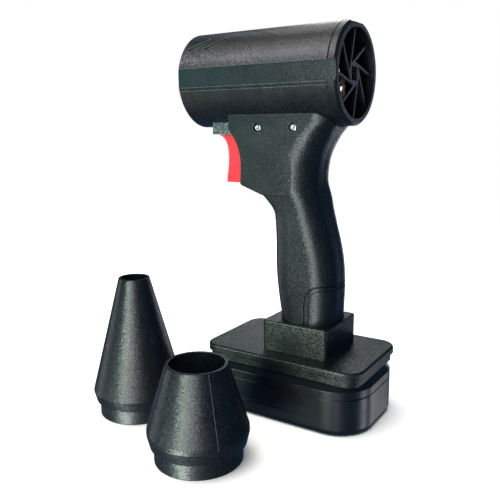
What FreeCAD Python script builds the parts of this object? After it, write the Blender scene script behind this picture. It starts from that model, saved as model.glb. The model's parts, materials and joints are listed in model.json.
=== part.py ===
"""Cordless blower for drying cars: ducted fan in a barrel, pistol grip, slide-on battery and two nozzles.

Millimetres, +Z up, +X towards the air intake, the nose towards -X.
The origin is the centre of the battery's footprint on the floor.
"""
import FreeCAD, Part
import math
import os

import Sketcher

Vector = FreeCAD.Vector
Rotation = FreeCAD.Rotation
OUT = "parts"

# Driving dimensions
SIZES = {
    # Shared clearances and fasteners
    "slide_gap": 0.3,
    "seat_gap": 0.15,
    "bearing_gap": 0.04,
    "screw_radius": 1.4,
    "screw_hole_gap": 0.2,
    "screw_head_radius": 2.25,
    "screw_head_height": 2.0,
    "driver_socket_radius": 1.1,
    "driver_socket_depth": 1.2,
    # Battery
    "battery_length": 128.0,
    "battery_width": 79.0,
    "battery_corner": 26.0,
    "battery_tray_height": 26.0,
    "battery_lid_height": 8.6,
    "battery_wall": 2.2,
    "battery_floor": 2.4,
    "battery_shoulder": 3.4,
    "battery_foot_edge": 4.5,
    "case_seam_inset": 0.5,
    "case_seam_height": 0.7,
    "label_length": 69.0,
    "label_height": 13.3,
    "label_bottom": 10.6,
    "label_depth": 0.6,
    "deck_length": 90.0,
    "deck_stem_half_width": 21.1,
    "deck_flange_half_width": 25.7,
    "deck_stem_height": 2.4,
    "deck_flange_height": 3.3,
    "cell_count": 5,
    "cell_radius": 9.2,
    "cell_length": 65.0,
    "cell_pitch": 19.6,
    "cell_axis_height": 13.0,
    "holder_length": 97.0,
    "holder_half_height": 10.5,
    "holder_depth": 5.5,
    "holder_lip": 2.0,
    "holder_window_radius": 6.5,
    "board_length": 84.0,
    "board_width": 68.0,
    "board_thickness": 1.6,
    "case_screw_x": 52.2,
    "case_screw_y": 20.0,
    "case_post_radius": 3.4,
    # Battery terminals
    "blade_spacing": 14.0,
    "blade_thickness": 0.8,
    "blade_length": 16.0,
    "blade_front": 10.0,
    "blade_reach": 5.4,
    "clip_gap": 0.2,
    "clip_thickness": 0.5,
    "clip_length": 12.0,
    "block_length": 22.0,
    "block_half_width": 11.8,
    "block_height": 8.0,
    "block_foot": 1.3,
    "block_shoulder": 1.5,
    "block_offset": 9.9,
    # Latch
    "latch_half_width": 10.6,
    "latch_front_inset": 0.9,
    "latch_corner": 1.2,
    "latch_height": 3.4,
    "latch_travel": 2.0,
    "latch_stand": 1.5,
    "latch_clear": 0.5,
    "latch_floor": 1.5,
    "latch_tongue_length": 3.5,
    "latch_tongue_half_width": 8.0,
    "latch_tongue_height": 5.2,
    "latch_spring_radius": 2.0,
    "latch_spring_wire": 0.4,
    "latch_spring_bore": 2.4,
    "latch_spring_spread": 5.0,
    "latch_spring_turns": 4,
    "latch_ridge_count": 3,
    "latch_ridge_pitch": 1.8,
    "latch_ridge_width": 0.9,
    "latch_ridge_rise": 0.5,
    "latch_ridge_inset": 2.0,
    # Adapter
    "adapter_length": 122.0,
    "adapter_offset": 1.6,
    "adapter_width": 75.0,
    "adapter_corner": 12.0,
    "adapter_plate_height": 5.0,
    "adapter_tier_height": 5.7,
    "adapter_tier_inset": 1.8,
    "adapter_edge": 1.5,
    "rail_thickness": 1.8,
    "socket_length": 50.0,
    "socket_width": 48.8,
    "socket_height": 21.2,
    "socket_centre": 9.1,
    "socket_floor": 5.0,
    "socket_edge": 2.8,
    "socket_rim": 1.0,
    "blade_root": 4.4,
    "adapter_screw_spacing": 20.0,
    "adapter_screw_x": 0.0,
    "adapter_screw_length": 17.0,
    # Barrel
    "grip_reach": 155.4,
    "barrel_radius": 33.0,
    "barrel_wall": 2.8,
    "barrel_front": 79.6,
    "barrel_rear": 35.5,
    "barrel_front_edge": 0.8,
    "barrel_seam_edge": 0.4,
    "nozzle_seat_length": 13.0,
    "spigot_radius": 27.8,
    "band_top": 6.8,
    "band_bottom": 6.0,
    "band_depth": 1.2,
    "line_width": 0.7,
    "line_depth": 0.6,
    "panel_half_width": 23.2,
    "panel_knee": 5.0,
    "panel_tip": 62.0,
    "chevron_angle": 53.0,
    "chevron_half_width": 10.1,
    "chevron_tip": 76.0,
    "chevron_length": 16.0,
    "chevron_stroke": 5.3,
    "chevron_pitch": 14.0,
    "chevron_depth": 0.8,
    "keel_half_width": 8.0,
    "keel_front": 26.0,
    "keel_rear": 14.0,
    "keel_depth": 7.0,
    "keel_root": 1.5,
    "wire_hole_radius": 5.0,
    "wire_hole_x": 21.0,
    # Intake guard
    "guard_width": 6.0,
    "guard_edge": 1.6,
    "guard_wall": 1.65,
    "guard_spigot": 4.0,
    "guard_recess": 2.2,
    "guard_notch_half_width": 9.6,
    "guard_notch_depth": 2.2,
    "vane_count": 8,
    "vane_thickness": 1.8,
    "vane_depth": 6.0,
    "vane_phase": -14.0,
    "vane_overlap": 0.6,
    "guard_hub_radius": 7.6,
    "guard_hole": 8.5,
    # Fan
    "duct_front": 63.0,
    "duct_rear": 13.0,
    "duct_wall": 3.2,
    "wire_channel_half_width": 3.6,
    "wire_channel_depth": 2.4,
    "sleeve_bore": 14.2,
    "sleeve_wall": 1.4,
    "sleeve_plate": 2.0,
    "stator_count": 7,
    "stator_thickness": 1.6,
    "stator_length": 20.0,
    "stator_inset": 2.0,
    "wire_window": 7.8,
    "tail_length": 5.5,
    "tail_radius": 12.0,
    "motor_front": 60.0,
    "motor_rear": 35.0,
    "cap_thickness": 2.5,
    "cover_bore": 5.2,
    "tail_tip_radius": 4.0,
    "can_wall": 1.2,
    "winding_bore": 8.6,
    "winding_margin": 1.5,
    "winding_gap": 0.1,
    "magnet_margin": 1.0,
    "magnet_radius": 8.1,
    "shaft_radius": 2.5,
    "shaft_length": 52.5,
    "shaft_inset": 0.5,
    "bearing_radius": 5.0,
    "bearing_width": 2.0,
    "motor_screw_circle": 10.5,
    "motor_screw_length": 4.3,
    "motor_screw_head": 1.2,
    "impeller_gap": 1.2,
    "impeller_hub_radius": 13.5,
    "impeller_hub_length": 13.0,
    "impeller_tip_gap": 0.5,
    "impeller_blade_margin": 0.5,
    "blade_count": 9,
    "fan_blade_thickness": 1.3,
    "fan_blade_pitch": 42.0,
    "spinner_length": 9.0,
    "spinner_nut_radius": 4.0,
    "spinner_nut_length": 3.5,
    # Controller in the barrel
    "controller_front": 5.0,
    "controller_length": 35.0,
    "controller_half_width": 16.6,
    "controller_drop": 25.0,
    "controller_thickness": 1.6,
    "heatsink_front": 1.0,
    "heatsink_length": 26.0,
    "heatsink_height": 9.4,
    "fin_width": 1.4,
    "fin_pitch": 3.4,
    "fin_depth": 5.0,
    "fin_slots": 5,
    "capacitor_radius": 6.0,
    "capacitor_length": 20.0,
    "capacitor_rear": 30.0,
    "capacitor_y": 6.0,
    "capacitor_step": 5.0,
    "transistor_size": 4.6,
    "transistor_height": 1.2,
    "transistor_front": 2.0,
    "transistor_pitch": 7.0,
    "transistor_inset": 1.2,
    # Grip
    "grip_wall": 2.6,
    "grip_half_width": 19.5,
    "grip_base_front": 8.4,
    "grip_base_rear": 32.0,
    "grip_round": 14.0,
    "head_half_width": 22.5,
    "head_front": 44.2,
    "head_rear": 5.0,
    "head_edge": 1.2,
    "head_rise": 11.0,
    "screw_drop": 0.5,
    "screw_front_x": 20.9,
    "screw_rear_x": 6.5,
    "screw_recess": 0.9,
    "screw_well_radius": 2.75,
    "screw_boss_radius": 4.0,
    "foot_post_radius": 3.6,
    "foot_post_height": 11.0,
    "foot_web": 2.0,
    "switch_rib_inset": 6.0,
    "switch_rib_drop": 4.0,
    "cover_seam": 14.6,
    "cover_height": 27.2,
    "cover_round": 12.0,
    "cover_gap": 0.5,
    "cover_line_inset": 2.3,
    # Trigger
    "shroud_front": 64.4,
    "shroud_half_width": 15.0,
    "shroud_depth": 5.0,
    "shroud_round": 3.0,
    "trigger_half_width": 9.0,
    "trigger_back": 33.0,
    "trigger_height": 34.0,
    "trigger_travel": 6.0,
    "trigger_edge": 2.0,
    "trigger_nose_inset": 0.9,
    "trigger_slot_room": 5.0,
    "switch_front": 22.0,
    "switch_length": 22.0,
    "switch_half_width": 9.0,
    "switch_drop": 11.0,
    "switch_height": 22.0,
    "plunger_radius": 2.6,
    "plunger_drop": 22.0,
    "plunger_length": 18.5,
    "plunger_end": 1.5,
    "plunger_gap": 0.1,
    "trigger_spring_radius": 4.2,
    "trigger_spring_wire": 0.7,
    "trigger_spring_turns": 5,
    # Leads
    "lead_radius": 1.3,
    "power_lead_spread": 5.0,
    "power_lead_x": 19.0,
    "phase_lead_radius": 1.0,
    "phase_lead_pitch": 2.3,
    "phase_lead_gap": 0.1,
    "phase_lead_turn": 1.8,
    # Nozzles
    "nozzle_wall": 2.0,
    "spigot_length": 9.5,
    "nozzle_groove": 1.2,
    "nozzle_groove_depth": 1.0,
    "nozzle_heel_radius": 30.2,
    "nozzle_radius": 31.9,
    "nozzle_heel": 7.0,
    "nozzle_taper": 5.0,
    "narrow_height": 98.2,
    "narrow_tip_radius": 10.8,
    "narrow_x": 92.6,
    "narrow_y": 71.8,
    "wide_height": 61.6,
    "wide_tip_radius": 19.2,
    "wide_band": 3.0,
    "wide_x": 14.3,
    "wide_y": 102.9,
}

doc = FreeCAD.newDocument("car_dryer_blower")
sheet = doc.addObject("Spreadsheet::Sheet", "Sizes")
for row, (alias, number) in enumerate(SIZES.items(), start=1):
    sheet.set("A%d" % row, alias)
    sheet.set("B%d" % row, str(number))
    sheet.setAlias("B%d" % row, alias)
doc.recompute()


class Dim:
    """A size that knows its number and the sheet formula it comes from."""

    def __init__(self, value, text):
        self.value = float(value)
        self.text = text

    def join(self, sign, other, value):
        return Dim(value, "(%s %s %s)" % (self.text, sign, text_of(other)))

    def __add__(self, other):
        return self.join("+", other, self.value + number_of(other))

    def __sub__(self, other):
        return self.join("-", other, self.value - number_of(other))

    def __mul__(self, other):
        return self.join("*", other, self.value * number_of(other))

    def __truediv__(self, other):
        return self.join("/", other, self.value / number_of(other))

    def __neg__(self):
        return Dim(-self.value, "(-1 * %s)" % self.text)

    def __radd__(self, other):
        return self + other

    def __rmul__(self, other):
        return self * other

    def __rsub__(self, other):
        return Dim(other - self.value, "(%s - %s)" % (text_of(other), self.text))


def number_of(value):
    return value.value if isinstance(value, Dim) else float(value)


def text_of(value):
    return value.text if isinstance(value, Dim) else "(%s)" % repr(float(value))


def root_of(value):
    """The square root of a size."""
    return Dim(math.sqrt(value.value), "sqrt(%s)" % value.text)


class Sheet:
    """Reads the sheet: s.barrel_radius is that cell, with its number and its formula."""

    def __getattr__(self, alias):
        return Dim(sheet.get(alias), "Sizes." + alias)


s = Sheet()


# Helpers for primitives and booleans
def bind(obj, prop, value):
    setattr(obj, prop, number_of(value))
    if isinstance(value, Dim):
        obj.setExpression(prop, value.text)


def put(obj, at, rotation=None):
    """Places an object, with each coordinate bound to its formula."""
    base = Vector(*[number_of(value) for value in at])
    obj.Placement = FreeCAD.Placement(base, rotation or Rotation())
    for axis, value in zip("xyz", at):
        if isinstance(value, Dim):
            obj.setExpression("Placement.Base." + axis, value.text)
    return obj


TURN = {"x": Rotation(Vector(0, 1, 0), 90), "y": Rotation(Vector(1, 0, 0), -90), "z": Rotation()}


def cylinder(name, radius, length, at, along="z"):
    obj = doc.addObject("Part::Cylinder", name)
    bind(obj, "Radius", radius)
    bind(obj, "Height", length)
    return put(obj, at, TURN[along])


def cone(name, radius_start, radius_end, length, at, along="z"):
    obj = doc.addObject("Part::Cone", name)
    bind(obj, "Radius1", radius_start)
    bind(obj, "Radius2", radius_end)
    bind(obj, "Height", length)
    return put(obj, at, TURN[along])


def box(name, low, high, rotation=None):
    """A block from its low corner to its high corner."""
    obj = doc.addObject("Part::Box", name)
    for prop, a, b in zip(("Length", "Width", "Height"), low, high):
        bind(obj, prop, b - a if isinstance(b, Dim) else b + (-a) if isinstance(a, Dim) else b - a)
    return put(obj, low, rotation)


def fuse(name, *pieces):
    obj = doc.addObject("Part::MultiFuse", name)
    obj.Shapes = list(pieces)
    obj.Refine = True
    return obj


def cut(name, base, *tools):
    obj = doc.addObject("Part::Cut", name)
    obj.Base = base
    obj.Tool = tools[0] if len(tools) == 1 else fuse(name + "_tools", *tools)
    obj.Refine = True
    return obj


def common(name, *pieces):
    obj = doc.addObject("Part::MultiCommon", name)
    obj.Shapes = list(pieces)
    obj.Refine = True
    return obj


def group(name, *pieces):
    """Like pieces that stay separate solids under one name."""
    obj = doc.addObject("Part::Compound", name)
    obj.Links = list(pieces)
    return obj


def screw_group(name, heads, shanks, drivers):
    """Socket screws, each a head and a shank with a driver's socket cut out."""
    screws = []
    for i, (head, shank, driver) in enumerate(zip(heads, shanks, drivers)):
        screws.append(cut("%s_%d" % (name, i), fuse("%s_solid_%d" % (name, i), head, shank), driver))
    return group(name + "_set", *screws)


def solid(name, shape):
    """A shape worked out in this script from the sheet's sizes."""
    obj = doc.addObject("Part::Feature", name)
    obj.Shape = shape
    return obj


# Helpers for bodies with sketches
def new_body(name):
    body = doc.addObject("PartDesign::Body", name)
    body.Label = name
    return body


def plane_of(body, role):
    return [plane for plane in body.Origin.OriginFeatures if plane.Role == role][0]


def outline(body, name, role, corners):
    """A closed sketch through corners, each held by two distances from the origin."""
    sketch = body.newObject("Sketcher::SketchObject", name)
    sketch.AttachmentSupport = [(plane_of(body, role), "")]
    sketch.MapMode = "FlatFace"
    points = [Vector(number_of(u), number_of(v), 0) for u, v in corners]
    for i, point in enumerate(points):
        sketch.addGeometry(Part.LineSegment(point, points[(i + 1) % len(points)]), False)
    for i in range(len(points)):
        sketch.addConstraint(Sketcher.Constraint("Coincident", i, 2, (i + 1) % len(points), 1))
    for i, corner in enumerate(corners):
        for kind, value in zip(("DistanceX", "DistanceY"), corner):
            place = sketch.addConstraint(Sketcher.Constraint(kind, -1, 1, i, 1, number_of(value)))
            if isinstance(value, Dim):
                sketch.setExpression("Constraints[%d]" % place, value.text)
    return sketch


def turned(name, corners, at, along="x"):
    """A body turned on a lathe: corners are (along the axis, radius)."""
    body = new_body(name)
    if along == "z":
        corners = [(radius, height) for height, radius in corners]
    sketch = outline(body, name + "_outline", "XZ_Plane", corners)
    turn = body.newObject("PartDesign::Revolution", name + "_turned")
    turn.Profile = sketch
    turn.ReferenceAxis = (sketch, ["H_Axis" if along == "x" else "V_Axis"])
    turn.Angle = 360
    body.Tip = turn
    return put(body, at)


def plate(name, corners, height, at, role="XY_Plane"):
    """A flat body: its outline padded by height."""
    body = new_body(name)
    sketch = outline(body, name + "_outline", role, corners)
    pad = body.newObject("PartDesign::Pad", name + "_pad")
    pad.Profile = sketch
    bind(pad, "Length", height)
    body.Tip = pad
    put(body, at)
    doc.recompute()
    return body


def round_edges(body, radius, chosen, kind="Fillet"):
    """Rounds or chamfers the edges of a body for which chosen(edge) is true."""
    tip = body.Tip
    names = ["Edge%d" % (i + 1) for i, edge in enumerate(tip.Shape.Edges) if chosen(edge)]
    feature = body.newObject("PartDesign::" + kind, body.Name + "_" + kind.lower())
    feature.Base = (tip, names)
    bind(feature, "Radius" if kind == "Fillet" else "Size", radius)
    body.Tip = feature
    doc.recompute()
    return body


def upright(edge):
    a, b = edge.firstVertex().Point, edge.lastVertex().Point
    return abs(a.x - b.x) < 1e-6 and abs(a.y - b.y) < 1e-6 and abs(a.z - b.z) > 1e-6


def at_level(level):
    def chosen(edge):
        bounds = edge.BoundBox
        return abs(bounds.ZMin - level) < 1e-4 and abs(bounds.ZMax - level) < 1e-4
    return chosen


def rectangle(half_length, half_width):
    return [(-half_length, -half_width), (half_length, -half_width),
            (half_length, half_width), (-half_length, half_width)]


def rounded_plate(name, length, width, corner, height, at):
    body = plate(name, rectangle(length / 2, width / 2), height, at)
    return round_edges(body, corner, upright)


NODES = []


def node(obj, name):
    """Marks an object as a finished sub-part; its Label is the sub-part's name."""
    obj.Label = name
    NODES.append((name, obj))
    return obj


# Heights and places that several pieces share
gap = s.slide_gap
lid_top = s.battery_tray_height + s.battery_lid_height
tier_bottom = lid_top + gap
plate_bottom = tier_bottom + s.adapter_tier_height
plate_top = plate_bottom + s.adapter_plate_height
grip_bottom = plate_top + s.socket_floor
socket_top = plate_top + s.socket_height
barrel_under = plate_top + s.grip_reach
axis_height = barrel_under + s.barrel_radius
deck_top = lid_top + s.deck_stem_height + s.deck_flange_height
board_bottom = s.cell_axis_height + s.holder_half_height
barrel_bore = s.barrel_radius - s.barrel_wall
seat_radius = s.spigot_radius + gap
duct_radius = barrel_bore - s.seat_gap
screw_hole = s.screw_radius + s.screw_hole_gap
guard_bore = duct_radius - s.guard_wall
shroud_bottom = barrel_under - s.shroud_depth
trigger_top = shroud_bottom - gap
trigger_bottom = trigger_top - s.trigger_height
AXIS = (0, 0, axis_height)


# Battery cases
def hollow_case(name, height, base, cavity_low, cavity_high):
    """A rounded case, outer and inner block."""
    wall = s.battery_wall
    outer = rounded_plate(name + "_outer", s.battery_length, s.battery_width, s.battery_corner, height,
                          (0, 0, base))
    inner = rounded_plate(name + "_inner", s.battery_length - wall * 2, s.battery_width - wall * 2,
                          s.battery_corner - wall, cavity_high - cavity_low, (0, 0, cavity_low))
    return outer, inner


CORNERS = [(x, y) for x in (-1, 1) for y in (-1, 1)]


def corner_cylinders(name, radius, low, high):
    return [cylinder("%s_%d" % (name, i), radius, high - low,
                     (s.case_screw_x * x, s.case_screw_y * y, low))
            for i, (x, y) in enumerate(CORNERS)]


def battery_lower_case():
    seam = s.battery_tray_height - s.case_seam_height
    outer, inner = hollow_case("tray", seam, 0.0, s.battery_floor, s.battery_tray_height + 1)
    round_edges(outer, s.battery_foot_edge, at_level(0.0))
    lip = rounded_plate("tray_lip", s.battery_length - s.case_seam_inset * 2,
                        s.battery_width - s.case_seam_inset * 2,
                        s.battery_corner - s.case_seam_inset, s.case_seam_height + 1, (0, 0, seam - 1))
    shell = cut("tray_shell", fuse("tray_walls", outer, lip), inner)
    posts = corner_cylinders("tray_post", s.case_post_radius, s.battery_floor - 1, s.battery_tray_height)
    labels = [box("tray_label_%d" % i, (-s.label_length / 2, low, s.label_bottom),
                  (s.label_length / 2, high, s.label_bottom + s.label_height))
              for i, (low, high) in enumerate((
                  (-s.battery_width / 2 - 1, -s.battery_width / 2 + s.label_depth),
                  (s.battery_width / 2 - s.label_depth, s.battery_width / 2 + 1)))]
    holes = corner_cylinders("tray_hole", screw_hole, s.battery_floor - 3, s.battery_tray_height + 1)
    wells = corner_cylinders("tray_well", s.screw_head_radius + gap, s.battery_floor - 3,
                             s.battery_floor + 0.4)
    return cut("tray_done", fuse("tray_posted", shell, *posts), *(labels + holes + wells))


latch_rear = -s.deck_length / 2 - s.latch_clear
latch_front = -s.battery_length / 2 + s.latch_front_inset


def latch_box(name, side, front, rear_extra, low, high):
    """A block around the latch at the battery's front end, wider and longer than it by the given margins."""
    half = s.latch_half_width + side
    return box(name, (front, -half, low), (latch_rear + rear_extra, half, high))


def blade_slots(name, half_width, front, rear, low, high):
    slots = []
    for i, side in enumerate((-1, 1)):
        middle = s.blade_spacing / 2 * side
        slots.append(box("%s_%d" % (name, i), (front, middle - half_width, low),
                         (rear, middle + half_width, high)))
    return slots


def battery_upper_case():
    base = s.battery_tray_height
    wall = s.battery_wall
    outer, inner = hollow_case("lid", s.battery_lid_height, base, base - 1, lid_top - wall)
    round_edges(outer, s.battery_shoulder, at_level(number_of(s.battery_lid_height)), "Chamfer")
    half = s.deck_length / 2
    stem = box("deck_stem", (-half, -s.deck_stem_half_width, lid_top - 1),
               (half, s.deck_stem_half_width, lid_top + s.deck_stem_height + 0.5))
    flange = box("deck_flange", (-half, -s.deck_flange_half_width, lid_top + s.deck_stem_height),
                 (half, s.deck_flange_half_width, deck_top))
    shell = cut("lid_shell", outer, inner)
    posts = corner_cylinders("lid_post", s.case_post_radius, base, lid_top - 1)
    latch_walls = latch_box("latch_walls", wall, latch_front, wall, base, lid_top - s.battery_shoulder)
    body = fuse("lid_body", shell, stem, flange, latch_walls, *posts)
    slot_half = s.blade_thickness / 2 + s.clip_gap + s.clip_thickness + gap
    pocket = latch_box("latch_pocket", gap, -s.battery_length / 2 - 1, gap, base + s.latch_floor,
                       lid_top + 1)
    slots = blade_slots("deck_slot", slot_half, s.blade_front - 1, half + 1, lid_top, deck_top + 1)
    windows = blade_slots("lid_window", slot_half, s.blade_front - 0.5, s.blade_front + s.clip_length + 0.5,
                          lid_top - wall - 1, lid_top + 1)
    holes = corner_cylinders("lid_hole", screw_hole, base - 1, lid_top - wall)
    return cut("lid_done", body, pocket, *(slots + windows + holes))


def cell_centres():
    count = int(number_of(s.cell_count))
    return [s.cell_pitch * (i - (count - 1) / 2) for i in range(count)]


def battery_cells():
    return group("cells", *[cylinder("cell_%d" % i, s.cell_radius, s.cell_length,
                                     (x, -s.cell_length / 2, s.cell_axis_height), "y")
                            for i, x in enumerate(cell_centres())])


def cell_holder(name, side):
    """A cradle for one end of the cells, with a window at each cell's face."""
    inner = s.cell_length / 2 - s.holder_depth + s.holder_lip
    outer = s.cell_length / 2 + s.holder_lip
    low_y, high_y = (inner, outer) if side > 0 else (-outer, -inner)
    block = box(name + "_block", (-s.holder_length / 2, low_y, s.cell_axis_height - s.holder_half_height),
                (s.holder_length / 2, high_y, s.cell_axis_height + s.holder_half_height))
    seats = [cylinder("%s_seat_%d" % (name, i), s.cell_radius + s.seat_gap, s.cell_length + s.seat_gap * 2,
                      (x, -s.cell_length / 2 - s.seat_gap, s.cell_axis_height), "y")
             for i, x in enumerate(cell_centres())]
    windows = [cylinder("%s_window_%d" % (name, i), s.holder_window_radius,
                        s.cell_length + s.holder_lip * 4,
                        (x, -s.cell_length / 2 - s.holder_lip * 2, s.cell_axis_height), "y")
               for i, x in enumerate(cell_centres())]
    return cut(name + "_done", block, *(seats + windows))


def battery_board():
    return box("board", (-s.board_length / 2, -s.board_width / 2, board_bottom),
               (s.board_length / 2, s.board_width / 2, board_bottom + s.board_thickness))


def battery_clips():
    """Two brass clips that grip the adapter's blades."""
    foot = board_bottom + s.board_thickness
    inner = s.blade_thickness / 2 + s.clip_gap
    outer = inner + s.clip_thickness
    front = s.blade_front
    rear = s.blade_front + s.clip_length
    clips = []
    for i, side in enumerate((-1, 1)):
        middle = s.blade_spacing / 2 * side
        base = box("clip_base_%d" % i, (front, middle - outer, foot),
                   (rear, middle + outer, foot + s.clip_thickness * 2))
        jaws = [box("clip_jaw_%d_%d" % (i, j), (front, low, foot), (rear, high, deck_top - 0.5))
                for j, (low, high) in enumerate(((middle - outer, middle - inner),
                                                 (middle + inner, middle + outer)))]
        clips.append(fuse("clip_%d" % i, base, *jaws))
    return group("clips", *clips)


def case_screws():
    screws = []
    for i, (x, y) in enumerate(CORNERS):
        place = (s.case_screw_x * x, s.case_screw_y * y)
        head_low = s.battery_floor - s.screw_head_height + 0.2
        head = cylinder("case_head_%d" % i, s.screw_head_radius, s.screw_head_height, place + (head_low,))
        shank_length = lid_top - s.battery_wall - 1 - head_low
        shank = cylinder("case_shank_%d" % i, s.screw_radius, shank_length, place + (head_low,))
        driver = cylinder("case_driver_%d" % i, s.driver_socket_radius, s.driver_socket_depth + 1,
                          place + (head_low - 1,))
        screws.append(cut("case_screw_%d" % i, fuse("case_screw_solid_%d" % i, head, shank), driver))
    return group("case_screw_set", *screws)


def battery_latch():
    low = s.battery_tray_height + s.latch_floor + s.latch_travel + s.latch_stand
    high = low + s.latch_height
    half = s.latch_half_width
    button = plate("latch_button", [(latch_front, -half), (latch_rear, -half), (latch_rear, half),
                                    (latch_front, half)],
                   s.latch_height, (0, 0, low))
    round_edges(button, s.latch_corner, upright)
    tongue_rear = latch_rear - 1
    tongue = box("latch_tongue", (tongue_rear - s.latch_tongue_length, -s.latch_tongue_half_width,
                                  high - 0.5),
                 (tongue_rear, s.latch_tongue_half_width, lid_top + s.latch_tongue_height))
    ridges = []
    for i in range(int(number_of(s.latch_ridge_count))):
        front = latch_front + s.latch_corner + s.latch_ridge_pitch * i
        side = half - s.latch_ridge_inset
        ridges.append(box("latch_ridge_%d" % i, (front, -side, high - 0.5),
                          (front + s.latch_ridge_width, side, high + s.latch_ridge_rise)))
    bores = [cylinder("latch_bore_%d" % i, s.latch_spring_radius + gap, s.latch_spring_bore + 1,
                      ((latch_front + latch_rear) / 2, s.latch_spring_spread * side, low - 1))
             for i, side in enumerate((-1, 1))]
    return cut("latch_done", fuse("latch_solid", button, tongue, *ridges), *bores)


def coil_spring(name, radius, wire, length, turns, at, along="z"):
    """A coil of eight-sided wire from at along one axis; radius is its outer one."""
    middle = number_of(radius) - number_of(wire) / 2
    rise = number_of(length) - number_of(wire)
    helix = Part.makeHelix(rise / number_of(turns), rise, middle)
    start = helix.Edges[0].valueAt(helix.Edges[0].FirstParameter)
    tangent = helix.Edges[0].tangentAt(helix.Edges[0].FirstParameter)
    outward = Vector(start.x, start.y, 0).normalize()
    upward = tangent.cross(outward).normalize()
    sides = 8
    corners = []
    for i in range(sides):
        angle = 2 * math.pi * (i + 0.5) / sides
        direction = outward * math.cos(angle) + upward * math.sin(angle)
        corners.append(start + direction * (number_of(wire) / 2))
    ring = Part.makePolygon(corners + corners[:1])
    coil = Part.Wire(helix.Edges).makePipeShell([ring], True, True)
    coil.translate(Vector(0, 0, number_of(wire) / 2))
    coil.Placement = FreeCAD.Placement(Vector(*[number_of(v) for v in at]),
                                       TURN[along]).multiply(coil.Placement)
    return solid(name, coil)


def latch_springs():
    low = s.battery_tray_height + s.latch_floor
    length = s.latch_travel + s.latch_stand + s.latch_spring_bore
    x = (latch_front + latch_rear) / 2
    coils = []
    for i, side in enumerate((-1, 1)):
        coils.append(coil_spring("latch_coil_%d" % i, s.latch_spring_radius, s.latch_spring_wire, length,
                                 s.latch_spring_turns, (x, s.latch_spring_spread * side, low)))
    return group("latch_spring_set", *coils)


# Grip outline: height above the battery adapter or below the barrel axis, and the section there
def grip_stations():
    """Rounded sections from the foot up: height, front, rear, half width, front and rear rounding."""
    front = -number_of(s.grip_base_front)
    rear = number_of(s.grip_base_rear)
    half = number_of(s.grip_half_width)
    head = number_of(s.head_half_width) + 0.05
    turn = number_of(s.grip_round)
    foot = number_of(grip_bottom)
    collar = number_of(socket_top)
    under = number_of(barrel_under)
    low = [(foot + (collar - foot) * step / 4, front, rear, half, turn, turn) for step in range(5)]
    low += [(collar + 11, front - 1.6, rear + 0.3, half, turn, turn),
            (collar + 20, front - 2.9, rear + 0.6, half, turn, turn),
            (collar + 29, front - 3.9, rear + 0.5, half + 0.1, turn, turn)]
    high = [(under - 88, front - 4.5, rear - 1.3, half + 0.3, turn, turn),
            (under - 75, front - 4.5, rear - 4.4, half + 0.5, turn, turn),
            (under - 65, front - 4.9, rear - 7.4, half + 0.8, turn, turn),
            (under - 58, front - 4.7, rear - 9.4, half + 1.2, turn - 2, turn),
            (under - 54, front - 5.3, rear - 10.5, half + 1.6, turn - 5, turn),
            (under - 50, front - 7.1, rear - 11.5, half + 2.1, turn - 8, turn),
            (under - 46, front - 10.0, rear - 12.5, head - 0.4, turn - 10, turn + 1),
            (under - 43, front - 14.0, rear - 13.2, head - 0.15, turn - 11, turn + 2),
            (under - 39, front - 18.0, rear - 14.0, head, turn - 11, turn + 3),
            (under - 33, front - 20.0, rear - 14.2, head, turn - 11, turn + 3),
            (under - 25, front - 21.0, rear - 13.3, head, turn - 11, turn + 3),
            (under - 17, front - 21.0, rear - 11.0, head, turn - 11, turn + 3),
            (under - 11, front - 21.0, rear - 8.0, head, turn - 11, turn + 3),
            (under - 5, front - 21.0, rear - 4.6, head, turn - 11, turn + 2),
            (under - 1, front - 21.0, rear - 1.6, head, turn - 11, turn + 1),
            (under + 4, front - 21.0, rear + 1.6, head, turn - 11, turn),
            (under + 11, front - 21.0, rear + 3.0, head, turn - 11, turn)]
    return low + high


def rounded_section(height, front, rear, half, front_round, rear_round):
    """A rectangle with rounded corners as a wire of four lines and four arcs."""
    corners = [(rear - rear_round, half - rear_round, rear_round, 0),
               (front + front_round, half - front_round, front_round, 90),
               (front + front_round, front_round - half, front_round, 180),
               (rear - rear_round, rear_round - half, rear_round, 270)]
    arcs = []
    for x, y, radius, start in corners:
        angles = [math.radians(start + step) for step in (0, 45, 90)]
        arcs.append([Vector(x + radius * math.cos(a), y + radius * math.sin(a), height) for a in angles])
    edges = []
    for i, arc in enumerate(arcs):
        edges.append(Part.Arc(*arc).toShape())
        edges.append(Part.makeLine(arc[2], arcs[(i + 1) % 4][0]))
    return Part.Wire(edges)


def grip_loft(inset):
    """The grip's body, with its surface moved inwards by inset."""
    wires = []
    for height, front, rear, half, front_round, rear_round in grip_stations():
        wires.append(rounded_section(height, front + inset, rear - inset, half - inset,
                                     max(front_round - inset, 0.6), max(rear_round - inset, 0.6)))
    return Part.makeLoft(wires, True, False)


def head_outline():
    """Side view of the flat head plate that carries the trigger, as a wire in the XZ plane."""
    front = -number_of(s.head_front)
    rear = number_of(s.head_rear)
    under = number_of(barrel_under)

    def at(x, drop):
        return Vector(x, 0, under - drop)

    cap = -number_of(s.head_rise)
    edges = [Part.makeLine(at(rear, cap), at(front, cap)),
             Part.makeLine(at(front, cap), at(front, 2.6)),
             Part.Arc(at(front, 2.6), at(front + 5.9, 11.0), at(front + 9.1, 21.5)).toShape(),
             Part.Arc(at(front + 9.1, 21.5), at(front + 9.3, 29.4), at(front + 8.8, 37.2)).toShape(),
             Part.Arc(at(front + 8.8, 37.2), at(front + 9.3, 39.2), at(front + 11.3, 40.4)).toShape(),
             Part.makeLine(at(front + 11.3, 40.4), at(front + 26.2, 45.8)),
             Part.makeLine(at(front + 26.2, 45.8), at(rear, 45.8)),
             Part.makeLine(at(rear, 45.8), at(rear, cap))]
    return Part.Wire(edges)


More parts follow.
